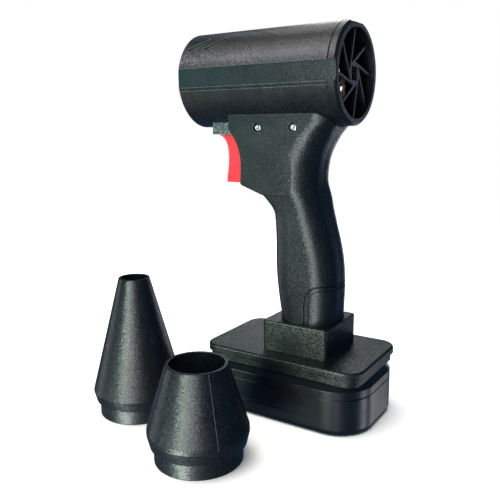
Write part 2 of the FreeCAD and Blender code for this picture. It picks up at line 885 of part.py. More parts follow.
def head_block(inset):
    """The head plate, with its surface moved inwards by inset."""
    face = Part.Face(head_outline())
    if inset > 0:
        face = face.makeOffset2D(-inset)
    half = number_of(s.head_half_width) - inset
    block = face.extrude(Vector(0, 2 * half, 0))
    block.translate(Vector(0, -half, 0))
    if inset > 0:
        return block
    grip_front = -number_of(s.grip_base_front)
    roof = number_of(barrel_under + s.head_rise)
    front_edges = [edge for edge in block.Edges
                   if abs(abs(edge.CenterOfMass.y) - half) < 1e-3 and edge.BoundBox.XMax < grip_front
                   and edge.BoundBox.ZMax < roof - 0.5]
    return block.makeFillet(number_of(s.head_edge), front_edges)


def prism(points, low_y, high_y):
    """A side-view outline of (x, z) points and three-point arcs, carried from low_y to high_y."""
    edges = []
    start = points[0]
    for item in points[1:] + [points[0]]:
        a = Vector(start[0], low_y, start[1])
        if len(item) == 4:
            edges.append(Part.Arc(a, Vector(item[0], low_y, item[1]),
                                  Vector(item[2], low_y, item[3])).toShape())
            start = item[2:]
        else:
            edges.append(Part.makeLine(a, Vector(item[0], low_y, item[1])))
            start = item
    return Part.Face(Part.Wire(edges)).extrude(Vector(0, high_y - low_y, 0))


def cover_region(grow):
    """The space of the grip's lower rear cover, larger by grow."""
    left = number_of(s.cover_seam) - grow
    right = number_of(s.grip_base_rear) + 20
    low = number_of(grip_bottom) - 5
    high = number_of(socket_top + s.cover_height) + grow
    turn = number_of(s.cover_round) + grow
    bulge = turn * (1 - math.sqrt(0.5))
    wide = number_of(s.head_half_width) + 10
    return prism([(left, low), (left, high - turn), (left + bulge, high - bulge, left + turn, high),
                  (right, high), (right, low)], -wide, wide)


def barrel_space():
    """The barrel's outside with a small gap, cut away from what sits under it."""
    length = number_of(s.barrel_front + s.barrel_rear) + 20
    start = Vector(-number_of(s.barrel_front) - 10, 0, number_of(axis_height))
    return Part.makeCylinder(number_of(s.barrel_radius + s.seat_gap), length, start, Vector(1, 0, 0))


def grip_screw_places():
    return [(-number_of(s.screw_front_x), side) for side in (-1, 1)] + \
           [(number_of(s.screw_rear_x), side) for side in (-1, 1)]


def side_rod(x, z, radius, y_outer, y_inner, side):
    """A round rod across the grip, on one side, between two distances from the middle."""
    start = Vector(x, side * number_of(y_inner), z)
    return Part.makeCylinder(number_of(radius), number_of(y_outer) - number_of(y_inner), start,
                             Vector(0, side, 0))


def side_block(side, front, rear, y_inner, y_outer, low, high):
    """A block on one side of the grip, between two distances from the middle."""
    depth = number_of(y_outer) - number_of(y_inner)
    low_y = number_of(y_inner) if side > 0 else -number_of(y_outer)
    return Part.makeBox(rear - front, depth, high - low, Vector(front, low_y, low))


def grip_shapes():
    """The two shells and the rear cover, cut from one outer form."""
    wall = number_of(s.grip_wall)
    outer = grip_loft(0).fuse(head_block(0))
    skin = outer.cut(grip_loft(wall).fuse(head_block(wall)))
    z = number_of(barrel_under - s.screw_drop)
    half = number_of(s.head_half_width)
    bosses = [side_rod(x, z, s.screw_boss_radius, half - wall / 2, s.keel_half_width + s.slide_gap, side)
              for x, side in grip_screw_places()]
    foot = number_of(grip_bottom)
    screw_x = number_of(s.adapter_screw_x)
    screw_y = number_of(s.adapter_screw_spacing) / 2
    rib_inset = number_of(s.switch_rib_inset)
    rib_drop = number_of(s.switch_rib_drop)
    rib_low = number_of(barrel_under - s.switch_drop - s.switch_height) + rib_drop
    rib_high = number_of(barrel_under - s.switch_drop) - rib_drop
    rib_front = -number_of(s.switch_front) + rib_inset
    rib_rear = number_of(s.switch_length - s.switch_front) - rib_inset
    web = number_of(s.foot_web) / 2
    web_top = foot + number_of(s.foot_post_height)
    supports = []
    for side in (-1, 1):
        supports.append(side_block(side, rib_front, rib_rear, s.switch_half_width + s.seat_gap,
                                   half - wall / 2,
                                   rib_low, rib_high))
        supports.append(side_block(side, screw_x - web, screw_x + web, screw_y,
                                   s.grip_half_width - wall / 2,
                                   foot, web_top))
        supports.append(Part.makeCylinder(number_of(s.foot_post_radius), number_of(s.foot_post_height),
                                          Vector(screw_x, side * screw_y, foot)))
    body = skin.fuse(bosses + supports)
    tools = [barrel_space()]
    for x, side in grip_screw_places():
        well_floor = half - number_of(s.screw_recess + s.screw_head_height)
        tools.append(side_rod(x, z, s.screw_well_radius, half + 5, well_floor, side))
        tools.append(side_rod(x, z, screw_hole, half, s.keel_half_width, side))
    for side in (-1, 1):
        tools.append(Part.makeCylinder(number_of(screw_hole), number_of(s.foot_post_height) - 0.5,
                                       Vector(screw_x, side * screw_y, foot - 1)))
    slot_half = number_of(s.trigger_half_width) + number_of(gap)
    slot_low = number_of(trigger_bottom) - number_of(gap)
    slot_front = -number_of(s.shroud_front) - 1
    slot_rear = -number_of(s.trigger_back) + number_of(s.trigger_slot_room)
    tools.append(Part.makeBox(slot_rear - slot_front, 2 * slot_half, number_of(shroud_bottom) - slot_low,
                              Vector(slot_front, -slot_half, slot_low)))
    body = body.cut(tools)
    shells = body.cut(cover_region(number_of(s.cover_gap)))
    reach = number_of(s.barrel_front)
    wide = half + 5
    left = shells.common(side_block(-1, -reach, reach, 0, wide, foot - 5, number_of(axis_height)))
    right = shells.common(side_block(1, -reach, reach, 0, wide, foot - 5, number_of(axis_height)))
    cover = body.common(cover_region(0))
    line = number_of(s.line_width)
    inset = number_of(s.cover_line_inset)
    shallow = outer.cut(grip_loft(number_of(s.line_depth)))
    line_frame = cover_region(-inset).cut(cover_region(-inset - line))
    cover = cover.cut(shallow.common(line_frame))
    return left, right, cover


# Battery adapter
def slide_slot():
    """The T-shaped slot that takes the battery's deck, open at the front."""
    front = -s.adapter_length / 2 - 1
    rear = s.deck_length / 2 + gap
    stem = s.deck_stem_half_width + gap
    flange = s.deck_flange_half_width + gap
    return [box("slot_stem", (front, -stem, tier_bottom - 1), (rear, stem, plate_bottom - 1)),
            box("slot_flange", (front, -flange, tier_bottom + s.rail_thickness),
                (rear, flange, plate_bottom))]


def block_front():
    return s.socket_centre - s.block_length / 2 + s.block_offset


def terminal_boxes(name, grow):
    """The terminal block's wide body and its narrower foot, larger by grow."""
    front = block_front() - grow
    rear = block_front() + s.block_length + grow
    half = s.block_half_width + grow
    foot_top = plate_bottom + s.block_foot
    foot = box(name + "_foot", (front + s.block_shoulder, -half + s.block_shoulder, plate_bottom - grow),
               (rear - s.block_shoulder, half - s.block_shoulder, foot_top + 0.5))
    body = box(name + "_body", (front, -half, foot_top), (rear, half, foot_top + s.block_height + grow))
    return [foot, body]


def blades(name, grow):
    """The two contact blades, larger by grow."""
    pieces = []
    for i, side in enumerate((-1, 1)):
        middle = s.blade_spacing / 2 * side
        half = s.blade_thickness / 2 + grow
        pieces.append(box("%s_%d" % (name, i), (s.blade_front - grow, middle - half,
                                                plate_bottom - s.blade_reach),
                          (s.blade_front + s.blade_length + grow, middle + half,
                           plate_bottom + s.blade_root + grow)))
    return pieces


def adapter_screw_rods(name, radius, low, high):
    return [cylinder("%s_%d" % (name, i), radius, high - low,
                     (s.adapter_screw_x, s.adapter_screw_spacing / 2 * side, low))
            for i, side in enumerate((-1, 1))]


def adapter_plate():
    inset = s.adapter_tier_inset
    tier = rounded_plate("tier", s.adapter_length - inset * 2, s.adapter_width - inset * 2,
                         s.adapter_corner - inset,
                         s.adapter_tier_height + 0.5, (s.adapter_offset, 0, tier_bottom))
    top = rounded_plate("adapter_top", s.adapter_length, s.adapter_width, s.adapter_corner,
                        s.adapter_plate_height,
                        (s.adapter_offset, 0, plate_bottom))
    round_edges(top, s.adapter_edge, at_level(number_of(s.adapter_plate_height)))
    socket = rounded_plate("socket", s.socket_length, s.socket_width, s.socket_edge, s.socket_height + 1,
                           (s.socket_centre, 0, plate_top - 1))
    round_edges(socket, s.socket_rim, at_level(number_of(s.socket_height + 1)))
    grip_length = s.grip_base_front + s.grip_base_rear
    pocket = rounded_plate("grip_pocket", grip_length + gap * 2, s.grip_half_width * 2 + gap * 2,
                           s.grip_round + gap,
                           s.socket_height, ((s.grip_base_rear - s.grip_base_front) / 2, 0, grip_bottom))
    heads = adapter_screw_rods("adapter_well", s.screw_head_radius + gap, plate_bottom - 1,
                               plate_bottom + s.screw_head_height + 0.2)
    holes = adapter_screw_rods("adapter_hole", screw_hole, plate_bottom - 1, grip_bottom + 1)
    wires = [cylinder("adapter_wire_hole_%d" % i, s.lead_radius + gap, s.socket_floor,
                      (s.power_lead_x, s.power_lead_spread * side, grip_bottom + 1 - s.socket_floor))
             for i, side in enumerate((-1, 1))]
    tools = slide_slot() + [pocket] + terminal_boxes("block_pocket", gap) + heads + holes + wires
    return cut("adapter_done", fuse("adapter_solid", tier, top, socket), *tools)


def terminal_block():
    return cut("block_done", fuse("block_solid", *terminal_boxes("block", 0.0)),
               *blades("block_slot", s.seat_gap))


def terminal_blades():
    return group("blade_set", *blades("blade", 0.0))


def adapter_screws():
    low = plate_bottom + 0.2
    heads = adapter_screw_rods("adapter_head", s.screw_head_radius, low, low + s.screw_head_height)
    shanks = adapter_screw_rods("adapter_shank", s.screw_radius, low, low + s.adapter_screw_length)
    drivers = adapter_screw_rods("adapter_driver", s.driver_socket_radius, low - 1,
                                 low + s.driver_socket_depth)
    return screw_group("adapter_screw", heads, shanks, drivers)


# Barrel
def around(obj, local, degrees):
    """Places an object drawn with the barrel's axis as its X axis, turned about that axis."""
    turn = Rotation(Vector(1, 0, 0), degrees)
    base = turn.multVec(Vector(*[number_of(value) for value in local]))
    obj.Placement = FreeCAD.Placement(base + Vector(0, 0, number_of(axis_height)), turn)
    obj.setExpression("Placement.Base.z", (axis_height + base.z).text)
    return obj


def band_flats(name):
    """The flat along each side of the barrel."""
    half = s.barrel_radius - s.band_depth
    return [box("%s_%d" % (name, i), (-s.barrel_front - 1, low, axis_height - s.band_bottom),
                (s.barrel_rear + s.guard_width + 1, high, axis_height + s.band_top))
            for i, (low, high) in enumerate(((half, half + 5), (-half - 5, -half)))]


def band_lines():
    """The thin line under each flat."""
    top = axis_height - s.band_bottom - 1
    middle = s.band_bottom + 1 + s.line_width / 2
    floor = root_of(s.barrel_radius * s.barrel_radius - middle * middle) - s.line_depth
    return [box("band_line_%d" % i, (-s.barrel_front - 1, low, top - s.line_width),
                (s.barrel_rear + 1, high, top))
            for i, (low, high) in enumerate(((floor, floor + 3), (-floor - 3, -floor)))]


def skin_ring(name, depth):
    """The barrel's outermost layer."""
    length = s.barrel_front + s.barrel_rear + 2
    at = (-s.barrel_front - 1, 0, axis_height)
    outer = cylinder(name + "_outer", s.barrel_radius + 1, length, at, "x")
    inner = cylinder(name + "_inner", s.barrel_radius - depth, length, at, "x")
    return cut(name, outer, inner)


def arrow(name, rear, knee, tip, half_width):
    """A flat arrow seen from above, pointing to the nose."""
    corners = [(rear, -half_width), (rear, half_width), (knee, half_width), (tip, 0.0), (knee, -half_width)]
    return plate(name, corners, s.barrel_radius + 1, AXIS)


def panel_line():
    """The outline of the panel on top of the barrel."""
    width = s.panel_half_width
    run = s.panel_tip - s.panel_knee
    slant = root_of(run * run + width * width)
    tip_inset = s.line_width * slant / width
    knee_inset = tip_inset - s.line_width * run / width
    outer = arrow("panel_outer", s.barrel_rear + 0.1, -s.panel_knee, -s.panel_tip, width)
    inner = arrow("panel_inner", s.barrel_rear + 0.2, knee_inset - s.panel_knee, tip_inset - s.panel_tip,
                  width - s.line_width)
    return common("panel_line", cut("panel_strip", outer, inner), skin_ring("panel_skin", s.line_depth))


def chevrons():
    """Two arrowheads on each side of the barrel, behind one another."""
    marks = []
    inner_half = s.chevron_half_width * (s.chevron_length - s.chevron_stroke) / s.chevron_length
    for i in range(2):
        tip = s.chevron_pitch * i - s.chevron_tip
        rear = tip + s.chevron_length
        corners = [(tip, 0.0), (rear, s.chevron_half_width), (rear, inner_half),
                   (tip + s.chevron_stroke, 0.0),
                   (rear, -inner_half), (rear, -s.chevron_half_width)]
        for j, side in enumerate((-1, 1)):
            mark = plate("chevron_%d_%d" % (i, j), corners, s.barrel_radius + 1, AXIS)
            around(mark, (0, 0, 0), number_of(s.chevron_angle) * side)
            marks.append(mark)
    return common("chevron_marks", fuse("chevron_set", *marks), skin_ring("chevron_skin", s.chevron_depth))


def barrel_shell():
    front = -s.barrel_front
    seat_end = front + s.nozzle_seat_length
    tube = turned("barrel_tube", [
        (front, seat_radius), (front, s.barrel_radius - s.barrel_front_edge),
        (front + s.barrel_front_edge, s.barrel_radius),
        (s.barrel_rear - s.barrel_seam_edge, s.barrel_radius),
        (s.barrel_rear, s.barrel_radius - s.barrel_seam_edge), (s.barrel_rear, barrel_bore),
        (seat_end, barrel_bore), (seat_end, seat_radius)], AXIS)
    keel = box("keel", (-s.keel_front, -s.keel_half_width, axis_height - s.barrel_radius - s.keel_depth),
               (s.keel_rear, s.keel_half_width, axis_height - s.barrel_radius + s.keel_root))
    holes = [cylinder("keel_hole_%d" % i, screw_hole, s.keel_half_width * 2 + 2,
                      (x, -s.keel_half_width - 1, barrel_under - s.screw_drop), "y")
             for i, x in enumerate((-s.screw_front_x, s.screw_rear_x))]
    wires = cylinder("wire_hole", s.wire_hole_radius, s.barrel_wall * 4,
                     (s.wire_hole_x, 0, axis_height - s.barrel_radius - 2))
    tools = holes + [wires, panel_line(), chevrons()] + band_flats("barrel_flat") + band_lines()
    return cut("barrel_done", fuse("barrel_solid", tube, keel), *tools)


def intake_guard():
    front = s.barrel_rear - s.guard_spigot
    rear = s.barrel_rear + s.guard_width
    ring = turned("guard_ring", [
        (front, guard_bore), (front, duct_radius), (s.barrel_rear, duct_radius),
        (s.barrel_rear, s.barrel_radius - s.barrel_seam_edge),
        (s.barrel_rear + s.barrel_seam_edge, s.barrel_radius), (rear - s.guard_edge, s.barrel_radius),
        (rear, s.barrel_radius - s.guard_edge), (rear, guard_bore)], AXIS)
    low = rear - s.guard_recess - s.vane_depth
    hub = cylinder("guard_hub", s.guard_hub_radius, s.vane_depth, (low, 0, axis_height), "x")
    vanes = []
    for i in range(int(number_of(s.vane_count))):
        vane = box("guard_vane_%d" % i, (0, 0, 0), (s.vane_depth, guard_bore + s.vane_overlap,
                                                    s.vane_thickness))
        local = (low, 0, s.guard_hub_radius - s.vane_thickness)
        vanes.append(around(vane, local, number_of(s.vane_phase) + i * 360 / number_of(s.vane_count)))
    half = s.guard_hole / 2
    hole = box("guard_square", (low - 1, -half, axis_height - half), (rear, half, axis_height + half))
    notch = box("guard_notch", (s.barrel_rear - 1, -s.guard_notch_half_width,
                                axis_height + s.barrel_radius - s.guard_notch_depth),
                (rear + 1, s.guard_notch_half_width, axis_height + s.barrel_radius + 1))
    return cut("guard_done", fuse("guard_solid", ring, hub, *vanes), hole, notch, *band_flats("guard_flat"))


# Fan and motor
can_radius = s.sleeve_bore - s.seat_gap
plate_front = -s.motor_rear
plate_rear = -s.motor_rear + s.sleeve_plate
cap_front = -s.motor_rear - s.cap_thickness


def tube_along(name, outer, inner, front, rear):
    """A plain tube on the barrel's axis."""
    return cut(name, cylinder(name + "_outside", outer, rear - front, (front, 0, axis_height), "x"),
               cylinder(name + "_bore", inner, rear - front + 2, (front - 1, 0, axis_height), "x"))


def motor_screw_rods(name, radius, front, rear):
    rods = []
    for i, (y, z) in enumerate(((1, 0), (0, 1), (-1, 0), (0, -1))):
        circle = s.motor_screw_circle
        rods.append(cylinder("%s_%d" % (name, i), radius, rear - front,
                             (front, circle * y, axis_height + circle * z), "x"))
    return rods


def fan_duct():
    """The duct, the motor's sleeve and the stator vanes between them."""
    front = -s.duct_front
    bore = duct_radius - s.duct_wall
    outer = tube_along("duct", duct_radius, bore, front, -s.duct_rear)
    sleeve_radius = s.sleeve_bore + s.sleeve_wall
    sleeve = turned("sleeve", [
        (-s.motor_front, s.sleeve_bore), (-s.motor_front, sleeve_radius), (plate_rear, sleeve_radius),
        (plate_rear, s.cover_bore), (plate_front, s.cover_bore), (plate_front, s.sleeve_bore)], AXIS)
    vanes = []
    count = number_of(s.stator_count)
    for i in range(int(count)):
        vane = box("stator_%d" % i, (0, 0, 0), (s.stator_length, s.stator_thickness, bore - s.sleeve_bore))
        local = (s.stator_inset - s.motor_front, -s.stator_thickness / 2, s.sleeve_bore + s.sleeve_wall / 2)
        vanes.append(around(vane, local, i * 360 / count))
    channel = box("wire_channel", (front - 1, -s.wire_channel_half_width, axis_height - duct_radius - 1),
                  (-s.duct_rear + 1, s.wire_channel_half_width,
                   axis_height - duct_radius + s.wire_channel_depth))
    window = box("wire_window", (front - 1, -s.wire_channel_half_width, axis_height - duct_radius - 1),
                 (front + s.wire_window, s.wire_channel_half_width, axis_height - bore + 2))
    tools = [channel, window] + motor_screw_rods("sleeve_hole", screw_hole, plate_front - 1,
                                                 plate_rear + 1) + \
        motor_screw_rods("sleeve_well", s.screw_head_radius + s.seat_gap, plate_rear - s.motor_screw_head,
                         plate_rear + 1)
    return cut("duct_done", fuse("duct_solid", outer, sleeve, *vanes), *tools)


def tail_cone():
    return cone("tail", s.tail_tip_radius, s.tail_radius, s.tail_length,
                (-s.motor_front - s.tail_length, 0, axis_height), "x")


def motor_housing():
    front = -s.motor_front
    floor = front + s.cap_thickness
    return turned("can", [
        (front, s.bearing_radius - 1), (front, can_radius), (cap_front, can_radius),
        (cap_front, can_radius - s.can_wall), (floor, can_radius - s.can_wall),
        (floor, s.bearing_radius), (floor - s.bearing_width, s.bearing_radius),
        (floor - s.bearing_width, s.bearing_radius - 1)], AXIS)


def motor_end_cap():
    seat_end = cap_front + s.bearing_width
    cap = turned("end_cap", [
        (cap_front, s.bearing_radius), (cap_front, can_radius), (plate_front, can_radius),
        (plate_front, s.bearing_radius - 1), (seat_end, s.bearing_radius - 1),
        (seat_end, s.bearing_radius)], AXIS)
    return cut("end_cap_done", cap, *motor_screw_rods("end_cap_hole", screw_hole, cap_front - 1,
                                                      plate_front + 1))


def motor_bearings():
    bore = s.shaft_radius + s.bearing_gap
    first = -s.motor_front + s.cap_thickness - s.bearing_width
    return group("bearing_set", *[tube_along("bearing_%d" % i, s.bearing_radius, bore, x,
                                             x + s.bearing_width)
                                  for i, x in enumerate((first, cap_front))])


def motor_windings():
    front = -s.motor_front + s.cap_thickness + s.winding_margin
    return tube_along("windings", can_radius - s.can_wall - s.winding_gap, s.winding_bore, front,
                      cap_front - s.winding_margin)


def motor_screws():
    rear = plate_rear - s.seat_gap
    heads = motor_screw_rods("motor_head", s.screw_head_radius, rear - s.motor_screw_head + s.seat_gap,
                             rear)
    shanks = motor_screw_rods("motor_shank", s.screw_radius, rear - s.motor_screw_length, rear)
    drivers = motor_screw_rods("motor_driver", s.driver_socket_radius, rear - s.motor_screw_head / 2,
                               rear + 1)
    return screw_group("motor_screw", heads, shanks, drivers)


# Rotor
shaft_front = -s.motor_front + s.shaft_inset
shaft_rear = shaft_front + s.shaft_length
hub_front = plate_rear + s.impeller_gap
hub_rear = hub_front + s.impeller_hub_length
spinner_rear = hub_rear + s.spinner_length


def motor_shaft():
    return cylinder("shaft", s.shaft_radius, s.shaft_length, (shaft_front, 0, axis_height), "x")


def motor_magnets():
    front = -s.motor_front + s.cap_thickness + s.winding_margin + s.magnet_margin
    rear = cap_front - s.winding_margin - s.magnet_margin
    return tube_along("magnets", s.magnet_radius, s.shaft_radius, front, rear)


def impeller():
    """The hub and its blades, trimmed to run in the duct."""
    tip = duct_radius - s.duct_wall - s.impeller_tip_gap
    front = hub_front + s.impeller_blade_margin
    rear = hub_rear - s.impeller_blade_margin
    middle = (front + rear) / 2
    chord = s.impeller_hub_length * 2
    count = int(number_of(s.blade_count))
    fans = []
    for i in range(count):
        fan = box("fan_blade_%d" % i, (0, 0, 0), (chord, s.fan_blade_thickness, s.barrel_radius))
        pitch = Rotation(Vector(0, 0, 1), number_of(s.fan_blade_pitch))
        turn = Rotation(Vector(1, 0, 0), i * 360 / count)
        corner = Vector(-number_of(chord) / 2, -number_of(s.fan_blade_thickness) / 2, 0)
        base = turn.multVec(pitch.multVec(corner) + Vector(number_of(middle), 0, 0))
        fan.Placement = FreeCAD.Placement(base + Vector(0, 0, number_of(axis_height)), turn.multiply(pitch))
        fans.append(fan)
    zone = tube_along("blade_zone", tip, s.impeller_hub_radius - 1, front, rear)
    wheel = common("wheel", fuse("wheel_blades", *fans), zone)
    hub = tube_along("impeller_hub", s.impeller_hub_radius, s.shaft_radius, hub_front, hub_rear)
    return fuse("impeller_done", hub, wheel)


def spinner():
    body = cone("spinner_cone", s.impeller_hub_radius, s.spinner_nut_radius + 0.5, s.spinner_length,
                (hub_rear, 0, axis_height), "x")
    return cut("spinner_done", body, cylinder("spinner_bore", s.shaft_radius, s.spinner_length + 2,
                                              (hub_rear - 1, 0, axis_height), "x"))


def spinner_nut():
    nut = cylinder("nut", s.spinner_nut_radius, s.spinner_nut_length, (spinner_rear, 0, axis_height), "x")
    return cut("nut_done", nut, cylinder("nut_bore", s.shaft_radius, shaft_rear - spinner_rear + 1,
                                         (spinner_rear - 1, 0, axis_height), "x"))


# Controller
board_low = axis_height - s.controller_drop
board_high = board_low + s.controller_thickness
board_front = -s.controller_front
board_rear = board_front + s.controller_length


def controller_board():
    half = s.controller_half_width
    return box("control_board", (board_front, -half, board_low), (board_rear, half, board_high))


def controller_heatsink():
    half = (s.fin_pitch * s.fin_slots + s.fin_width) / 2
    top = board_high + s.heatsink_height
    rear = s.heatsink_length - s.heatsink_front
    block = box("heatsink_block", (-s.heatsink_front, -half, board_high), (rear, half, top))
    slots = []
    for i in range(int(number_of(s.fin_slots))):
        low = s.fin_pitch * i + s.fin_width - half
        slots.append(box("fin_slot_%d" % i, (-s.heatsink_front - 1, low, top - s.fin_depth),
                         (rear + 1, low + s.fin_pitch - s.fin_width, top + 1)))
    return cut("heatsink_done", block, *slots)


def controller_transistors():
    size = s.transistor_size
    chips = []
    for i in range(3):
        for j, side in enumerate((-1, 1)):
            x = s.transistor_front + s.transistor_pitch * i
            y = (s.fin_pitch * s.fin_slots + s.fin_width) / 2 + s.transistor_inset + size / 2
            middle = y * side
            chips.append(box("chip_%d_%d" % (i, j), (x, middle - size / 2, board_high),
                             (x + size, middle + size / 2, board_high + s.transistor_height)))
    return group("chips", *chips)


def controller_capacitors():
    radius = s.capacitor_radius
    low = board_high + s.heatsink_height + radius
    front = s.capacitor_rear - s.capacitor_length
    rise = root_of(radius * radius * 4 - s.capacitor_step * s.capacitor_step) + gap
    places = ((s.capacitor_y, low), (s.capacitor_y - s.capacitor_step, low + rise))
    return group("capacitor_set", *[cylinder("capacitor_%d" % i, radius, s.capacitor_length, (front, y, z),
                                             "x")
                                    for i, (y, z) in enumerate(places)])


# Leads
def lead(name, points, radius):
    """A round lead through points, with its corners rounded."""
    points = [Vector(*[number_of(v) for v in point]) for point in points]
    thick = number_of(radius)
    edges = []
    start = points[0]
    for i in range(1, len(points) - 1):
        before = (points[i - 1] - points[i])
        after = (points[i + 1] - points[i])
        reach = min(before.Length, after.Length) * 0.45
        a = points[i] + before.normalize() * reach
        b = points[i] + after.normalize() * reach
        half_turn = before.getAngle(after) / 2
        bisector = (before + after).normalize()
        bulge = reach / math.cos(half_turn) - reach * math.tan(half_turn)
        edges.append(Part.makeLine(start, a))
        edges.append(Part.Arc(a, points[i] + bisector * bulge, b).toShape())
        start = b
    edges.append(Part.makeLine(start, points[-1]))
    ring = Part.Wire([Part.makeCircle(thick, points[0], points[1] - points[0])])
    return solid(name, Part.Wire(edges).makePipeShell([ring], True, False))


def power_lead(name, side):
    """From a battery terminal up the grip and through the barrel's floor to the controller."""
    near = s.power_lead_spread * side
    block_top = plate_bottom + s.block_foot + s.block_height
    route = [(s.power_lead_x, near, block_top), (s.power_lead_x, near, block_top + 10),
             (12.0, near, block_top + 30), (10.0, near, barrel_under - 71), (8.0, near, barrel_under - 41),
             (14.0, near * 0.8, barrel_under - 15), (s.wire_hole_x, near / 2, barrel_under - 4),
             (s.wire_hole_x, near / 2, board_low)]
    return lead(name, route, s.lead_radius)


def phase_leads():
    """Three leads from the controller along the duct's channel and up to the tail cone."""
    level = board_low + s.controller_thickness / 2
    channel = axis_height - duct_radius + s.phase_lead_radius + s.phase_lead_gap
    front = -s.duct_front + s.phase_lead_turn
    end = axis_height - s.tail_radius + s.phase_lead_gap
    leads = []
    for i in range(3):
        y = s.phase_lead_pitch * (i - 1)
        route = [(board_front, y, level), (board_front - 1.5, y, level), (board_front - 5, y, channel),
                 (front, y, channel), (front, y, end)]
        leads.append(lead("phase_%d" % i, route, s.phase_lead_radius))
    return group("phase_set", *leads)


# Grip fasteners and trigger
def grip_screws():
    z = barrel_under - s.screw_drop
    screws = []
    for i, (x, side) in enumerate(grip_screw_places()):
        outer = s.head_half_width - s.screw_recess
        middle = outer - s.screw_head_height
        end = s.keel_half_width / 2
        driver = outer - s.driver_socket_depth
        spans = ((s.screw_head_radius, middle, outer), (s.screw_radius, end, middle + 0.1),
                 (s.driver_socket_radius, driver, outer + 1))
        rods = []
        for j, (radius, low, high) in enumerate(spans):
            rods.append(cylinder("grip_rod_%d_%d" % (i, j), radius, high - low,
                                 (x, low if side > 0 else -high, z), "y"))
        screws.append(cut("grip_screw_%d" % i, fuse("grip_screw_solid_%d" % i, rods[0], rods[1]), rods[2]))
    return group("grip_screw_set", *screws)


def trigger_shroud():
    half = s.shroud_half_width
    front = -s.shroud_front
    rear = -s.head_front - 0.1
    block = plate("shroud_block", [(front, -half), (rear, -half), (rear, half), (front, half)],
                  axis_height - shroud_bottom, (0, 0, shroud_bottom))
    round_edges(block, s.shroud_round,
                lambda edge: upright(edge) and edge.BoundBox.XMax < number_of(front) + 1)
    space = cylinder("shroud_space", s.barrel_radius + s.seat_gap, s.shroud_front,
                     (front - 1, 0, axis_height), "x")
    return cut("shroud_done", block, space)


def trigger():
    """The trigger: its front is one smooth curve, with rounded long edges."""
    top = number_of(trigger_top)
    low = number_of(trigger_bottom)
    back = -number_of(s.trigger_back)
    nose = -number_of(s.shroud_front - s.trigger_nose_inset)
    half = number_of(s.trigger_half_width)
    front = [(nose, top), (nose + 6.9, top - 4.7), (nose + 9.1, top - 12.2), (nose + 9.2, top - 19.7),
             (nose + 8.5, top - 26.0), (nose + 7.7, top - 30.2), (nose + 7.6, low)]
    curve = Part.BSplineCurve()
    curve.interpolate([Vector(x, -half, z) for x, z in front])
    corners = [Vector(x, -half, z) for x, z in (front[-1], (back, low), (back, top), front[0])]
    sides = [Part.makeLine(a, b) for a, b in zip(corners, corners[1:])]
    body = Part.Face(Part.Wire([curve.toShape()] + sides)).extrude(Vector(0, 2 * half, 0))
    chin = Vector(nose + 7.6, 0, low)
    edges = [edge for edge in body.Edges
             if isinstance(edge.Curve, Part.BSplineCurve) or (edge.CenterOfMass - chin).Length < 0.1]
    return solid("trigger_body", body.makeFillet(number_of(s.trigger_edge), edges))


def switch_body():
    front = -s.switch_front
    top = barrel_under - s.switch_drop
    half = s.switch_half_width
    block = box("switch_block", (front, -half, top - s.switch_height), (front + s.switch_length, half, top))
    depth = s.plunger_length - (s.trigger_back - s.switch_front) + s.trigger_travel + s.plunger_end
    bore = cylinder("switch_bore", s.plunger_radius + s.plunger_gap, depth + 1,
                    (front - 1, 0, barrel_under - s.plunger_drop), "x")
    return cut("switch_done", block, bore)


def switch_plunger():
    return cylinder("plunger", s.plunger_radius, s.plunger_length,
                    (-s.trigger_back, 0, barrel_under - s.plunger_drop), "x")


def trigger_spring():
    return coil_spring("spring_coil", s.trigger_spring_radius, s.trigger_spring_wire,
                       s.trigger_back - s.switch_front,
                       s.trigger_spring_turns, (-s.trigger_back, 0, barrel_under - s.plunger_drop), "x")


# Nozzles
def nozzle(name, height, tip, band, at):
    """A push-in nozzle standing on its spigot, turned about Z."""
    wall = s.nozzle_wall
    groove = s.spigot_radius - s.nozzle_groove_depth
    groove_top = s.spigot_length + s.nozzle_groove
    heel_top = groove_top + s.nozzle_heel
    bore = s.spigot_radius - wall
    corners = [(0.0, s.spigot_radius), (s.spigot_length, s.spigot_radius), (s.spigot_length, groove),
               (groove_top, groove),
               (groove_top, s.nozzle_heel_radius), (heel_top, s.nozzle_radius)]
    if band:
        corners.append((heel_top + band, s.nozzle_radius))
    corners += [(height, tip), (height, tip - wall)]
    if band:
        corners.append((heel_top + band, s.nozzle_radius - wall))
    corners += [(heel_top, s.nozzle_radius - wall), (heel_top - s.nozzle_taper, bore), (0.0, bore)]
    return turned(name, corners, at, "z")


# Sub-parts
node(barrel_shell(), "barrel_shell")
node(intake_guard(), "intake_guard")
node(fan_duct(), "fan_duct")
node(tail_cone(), "tail_cone")
node(motor_housing(), "motor_housing")
node(motor_end_cap(), "motor_end_cap")
node(motor_windings(), "motor_windings")
node(motor_bearings(), "motor_bearings")
node(motor_screws(), "motor_screws")
node(motor_shaft(), "motor_shaft")
node(motor_magnets(), "motor_magnets")
node(impeller(), "impeller")
node(spinner(), "spinner")
node(spinner_nut(), "spinner_nut")
node(controller_board(), "controller_board")
node(controller_heatsink(), "controller_heatsink")
node(controller_transistors(), "controller_transistors")
node(controller_capacitors(), "controller_capacitors")
node(power_lead("lead_red", -1), "power_lead_red")
node(power_lead("lead_black", 1), "power_lead_black")
node(phase_leads(), "phase_leads")
left_shell, right_shell, rear_cover = grip_shapes()
node(solid("shell_left", left_shell), "grip_left_shell")
node(solid("shell_right", right_shell), "grip_right_shell")
node(solid("cover_rear", rear_cover), "grip_rear_cover")
node(grip_screws(), "grip_screws")
node(trigger_shroud(), "trigger_shroud")
node(trigger(), "trigger")
node(switch_body(), "switch_body")
node(switch_plunger(), "switch_plunger")
node(trigger_spring(), "trigger_spring")
node(adapter_plate(), "adapter_plate")
node(adapter_screws(), "adapter_screws")
